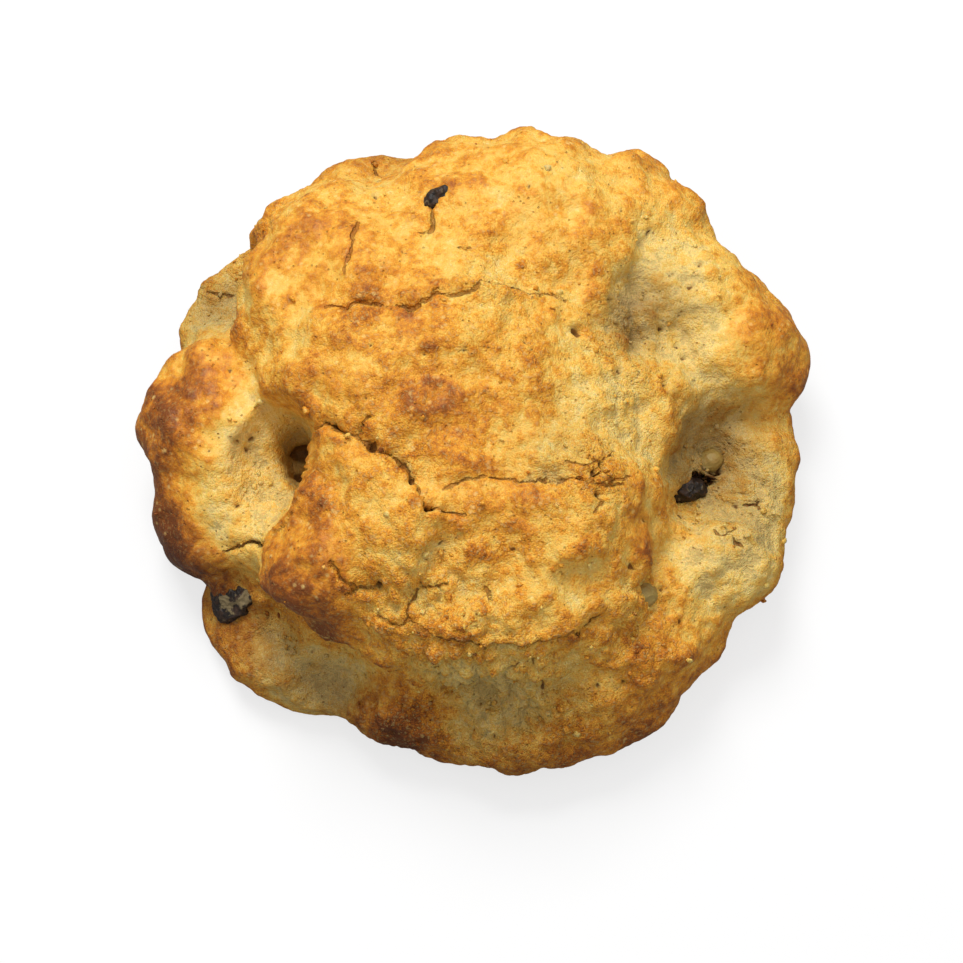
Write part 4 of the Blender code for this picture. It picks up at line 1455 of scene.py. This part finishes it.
@dataclass(frozen=True)
class Morsel:
    """A raisin or a piece of nut: a folded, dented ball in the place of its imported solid."""

    node: str
    slot: Slot
    size: Point
    facing: Point
    heading: float
    folds: int
    fold_depth: float
    dent: float
    wrinkle: float
    rows: int = 72
    columns: int = 96
    wrinkle_cells: Spot = (1.7, 0.8)
    dent_reach: float = 0.5
    crumb_in_dent: float = 2.0
    crumb_reach: float = 0.5
    crumb_shift: Spot = (0.3, 0.15)
    crumb_edge: tuple[Spot, ...] = ((2.6, 0.75), (0.9, 0.35))

    def turn(self) -> Array:
        """How the morsel is turned.

        Returns:
            A matrix whose columns are its length, its width and its facing, as unit directions.
        """
        up = Vector(self.facing).normalized()
        angle = math.radians(self.heading)
        side = up.cross(Vector((math.cos(angle), math.sin(angle), 0.0))).normalized()
        return np.array([side.cross(up), side, up]).T

    def skin(self) -> Array:
        """The skin's points, as a ball whose radius is folded lengthways and wrinkled by noise.

        The radius is 1 + depth (slow + quick / 2) sin^2(down), slow and quick being waves around
        the length; the dent flattens the top as exp(-(side / reach)^2).

        Returns:
            An (n, 3) array of points about the middle, in millimetres.
        """
        down, around, _ = ball_net(self.rows, self.columns)
        slow = np.cos(self.folds * around + 1.3 * np.sin(2.0 * down))
        quick = np.cos((self.folds + 3) * around - 4.0 * down)
        side = np.sin(down) * (1.0 + self.fold_depth * (slow + 0.5 * quick) * np.sin(down) ** 2)
        lift = np.cos(down) * (1.0 - self.dent * np.exp(-((side / self.dent_reach) ** 2)))
        ball = np.stack([side * np.cos(around), side * np.sin(around), lift], axis=-1)
        points = ball * (0.5 * np.array(self.size))
        seed = sum(map(ord, self.node))
        coarse, fine = (np.abs(gradient_noise(points, cell, seed + number))
                        for number, cell in enumerate(self.wrinkle_cells))
        ridge = 1.0 - 2.0 * coarse - fine
        return points * (1.0 + self.wrinkle * ridge[:, None] / np.linalg.norm(points, axis=1, keepdims=True))

    def stuck_crumb(self, points: Array) -> Array:
        """How much crumb is stuck on the skin: most in the middle of the dent, none without one.

        Args:
            points: The skin's points about its middle, in millimetres.

        Returns:
            The n amounts, which fall off as exp(-(side / reach)^4).
        """
        plan = points[:, :2] / (0.5 * np.array(self.size[:2]))
        side = np.linalg.norm(plan - self.crumb_shift, axis=1)
        side = side + layered_noise(points, self.crumb_edge, Seed.STUCK)
        amount = self.crumb_in_dent * self.dent * np.exp(-((side / self.crumb_reach) ** 4))
        return np.where(points[:, 2] > 0.0, amount, 0.0)

    def build(self, finish: bpy.types.Material) -> bpy.types.Object:
        """The morsel as a closed mesh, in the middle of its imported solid's box.

        Args:
            finish: Its material.

        Returns:
            The morsel.
        """
        low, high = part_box(self.node)
        points = self.skin()
        faces = ball_net(self.rows, self.columns)[2]
        marks = {Mark.CRUMB: self.stuck_crumb(points)}
        placed = points * MM @ self.turn().T + np.array((low + high) / 2)
        thing = mesh_object(self.node + "_skin", placed, faces, marks)
        thing.data.materials.append(finish)
        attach(thing, "root")
        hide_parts(self.node)
        return thing


MORSELS = (
    Morsel("raisin_in_left_bay", Slot.RAISIN, (8.2, 5.7, 5), (-0.42, -0.5, 0.76), 35, 3, 0.13, 0.4, 0.34),
    Morsel("raisin_in_right_bay", Slot.RAISIN, (6.2, 3.8, 3.6), (0.3, -0.2, 0.93), 0, 3, 0.07, 0.1, 0.25),
    Morsel("raisin_under_crown", Slot.RAISIN, (5.8, 3, 3.2), (-0.33, 0.31, 0.89), 20, 3, 0.06, 0, 0.25),
    Morsel("nut_in_right_bay", Slot.NUT, (4.2, 3.6, 3.2), (0, -0.2, 0.98), 15, 2, 0.05, 0, 0.12),
    Morsel("nut_in_front_slope", Slot.NUT, (4.6, 4.2, 3.4), (0.6, -0.16, 0.78), 0, 3, 0.04, 0, 0.12),
)


# The studio.


@dataclass(frozen=True)
class Lamp:
    """A square soft light that points at the cookie."""

    name: str
    at: Point
    size: float
    power: float


@dataclass(frozen=True)
class Studio:
    """A pale floor, soft lights and the camera that looks down on the cookie."""

    lamps: tuple[Lamp, ...] = (
        Lamp("window", (-0.12, 0.40, 0.62), 0.30, 4.3),
        Lamp("ceiling", (0.05, 0.05, 0.90), 0.8, 1.2),
    )
    sky: float = 0.50
    elevation: float = 76.0
    distance: float = 0.330
    aim: Point = (0.001, -0.0059, 0.015)
    sensor: float = 36.0
    view_width: float = 0.14288
    floor_half: float = 1.5
    floor_drop: float = 0.0002
    floor_bounce: float = 0.22
    floor_white: float = 0.9
    floor_glow: float = 0.7

    def add_camera(self) -> None:
        """A camera at the elevation, square on to the front, as wide as the view at the aim."""
        data = bpy.data.cameras.new("camera")
        data.sensor_width = self.sensor
        data.lens = self.sensor * self.distance / self.view_width
        camera = scene_object("camera", data)
        angle = math.radians(self.elevation)
        back = Vector((0.0, -math.cos(angle), math.sin(angle)))
        camera.location = Vector(self.aim) + back * self.distance
        camera.rotation_euler = (math.pi / 2 - angle, 0.0, 0.0)
        bpy.context.scene.camera = camera

    def add_lamps(self) -> None:
        """The lamps, each aimed at the middle of the cookie."""
        for lamp in self.lamps:
            data = bpy.data.lights.new(lamp.name, "AREA")
            data.size = lamp.size
            data.energy = lamp.power
            light = scene_object(lamp.name, data)
            light.location = lamp.at
            heading = Vector(self.aim) - Vector(lamp.at)
            light.rotation_euler = heading.to_track_quat("-Z", "Y").to_euler()

    def add_sky(self) -> None:
        """An even grey sky that the camera sees as white."""
        world = bpy.data.worlds.new("sky")
        world.use_nodes = True
        nodes, links = world.node_tree.nodes, world.node_tree.links
        path = nodes.new("ShaderNodeLightPath")
        brightness = nodes.new("ShaderNodeMapRange")
        brightness.inputs["To Min"].default_value = self.sky
        brightness.inputs["To Max"].default_value = 1.0
        links.new(path.outputs["Is Camera Ray"], brightness.inputs["Value"])
        links.new(brightness.outputs[0], nodes["Background"].inputs["Strength"])
        nodes["Background"].inputs["Color"].default_value = (1.0, 1.0, 1.0, 1.0)
        bpy.context.scene.world = world

    def floor_material(self) -> bpy.types.Material:
        """The floor's material.

        Returns:
            Matt white with some glow to the camera, so that shadows are faint; grey to the cookie.
        """
        sheet = Sheet("floor_matt")
        seen = sheet.node("ShaderNodeLightPath", output="Is Camera Ray")
        tone = sheet.blend(seen, (self.floor_bounce,) * 3, (self.floor_white,) * 3)
        plain = sheet.node("ShaderNodeBsdfDiffuse", inputs={"Color": tone})
        glow = sheet.node("ShaderNodeEmission", inputs={"Strength": 1.0})
        mix = {0: seen * self.floor_glow, 1: plain, 2: glow}
        return sheet.finish(sheet.node("ShaderNodeMixShader", inputs=mix))

    def add_floor(self) -> None:
        """A flat floor just under the base."""
        half, drop = self.floor_half, -self.floor_drop
        plan = ((-half, -half), (half, -half), (half, half), (-half, half))
        corners = np.array([(*corner, drop) for corner in plan])
        floor = mesh_object("floor", corners, [np.array([[0, 1, 2, 3]])], {})
        floor.data.materials.append(self.floor_material())

    def build(self) -> None:
        """Add everything that isn't the cookie."""
        self.add_camera()
        self.add_lamps()
        self.add_sky()
        self.add_floor()
        bpy.context.scene.view_settings.view_transform = "Standard"


def main() -> None:
    """Build the studio, the dough and what is baked into it."""
    logging.basicConfig(level=logging.INFO)
    for thing in [thing for thing in bpy.data.objects if thing.name in ("Cube", "Light", "Camera")]:
        bpy.data.objects.remove(thing)
    Studio().build()
    dough = Dough().build()
    LOG.info("%s: %d faces", dough.name, len(dough.data.polygons))
    crumbs = Crumbs().build(dough)
    LOG.info("%s: %d faces", crumbs.name, len(crumbs.data.polygons))
    finishes = {Slot.RAISIN: RaisinFinish().material(), Slot.NUT: NutFinish().material()}
    for morsel in MORSELS:
        thing = morsel.build(finishes[morsel.slot])
        LOG.info("%s: %d faces", thing.name, len(thing.data.polygons))


if __name__ == "__main__":
    main()
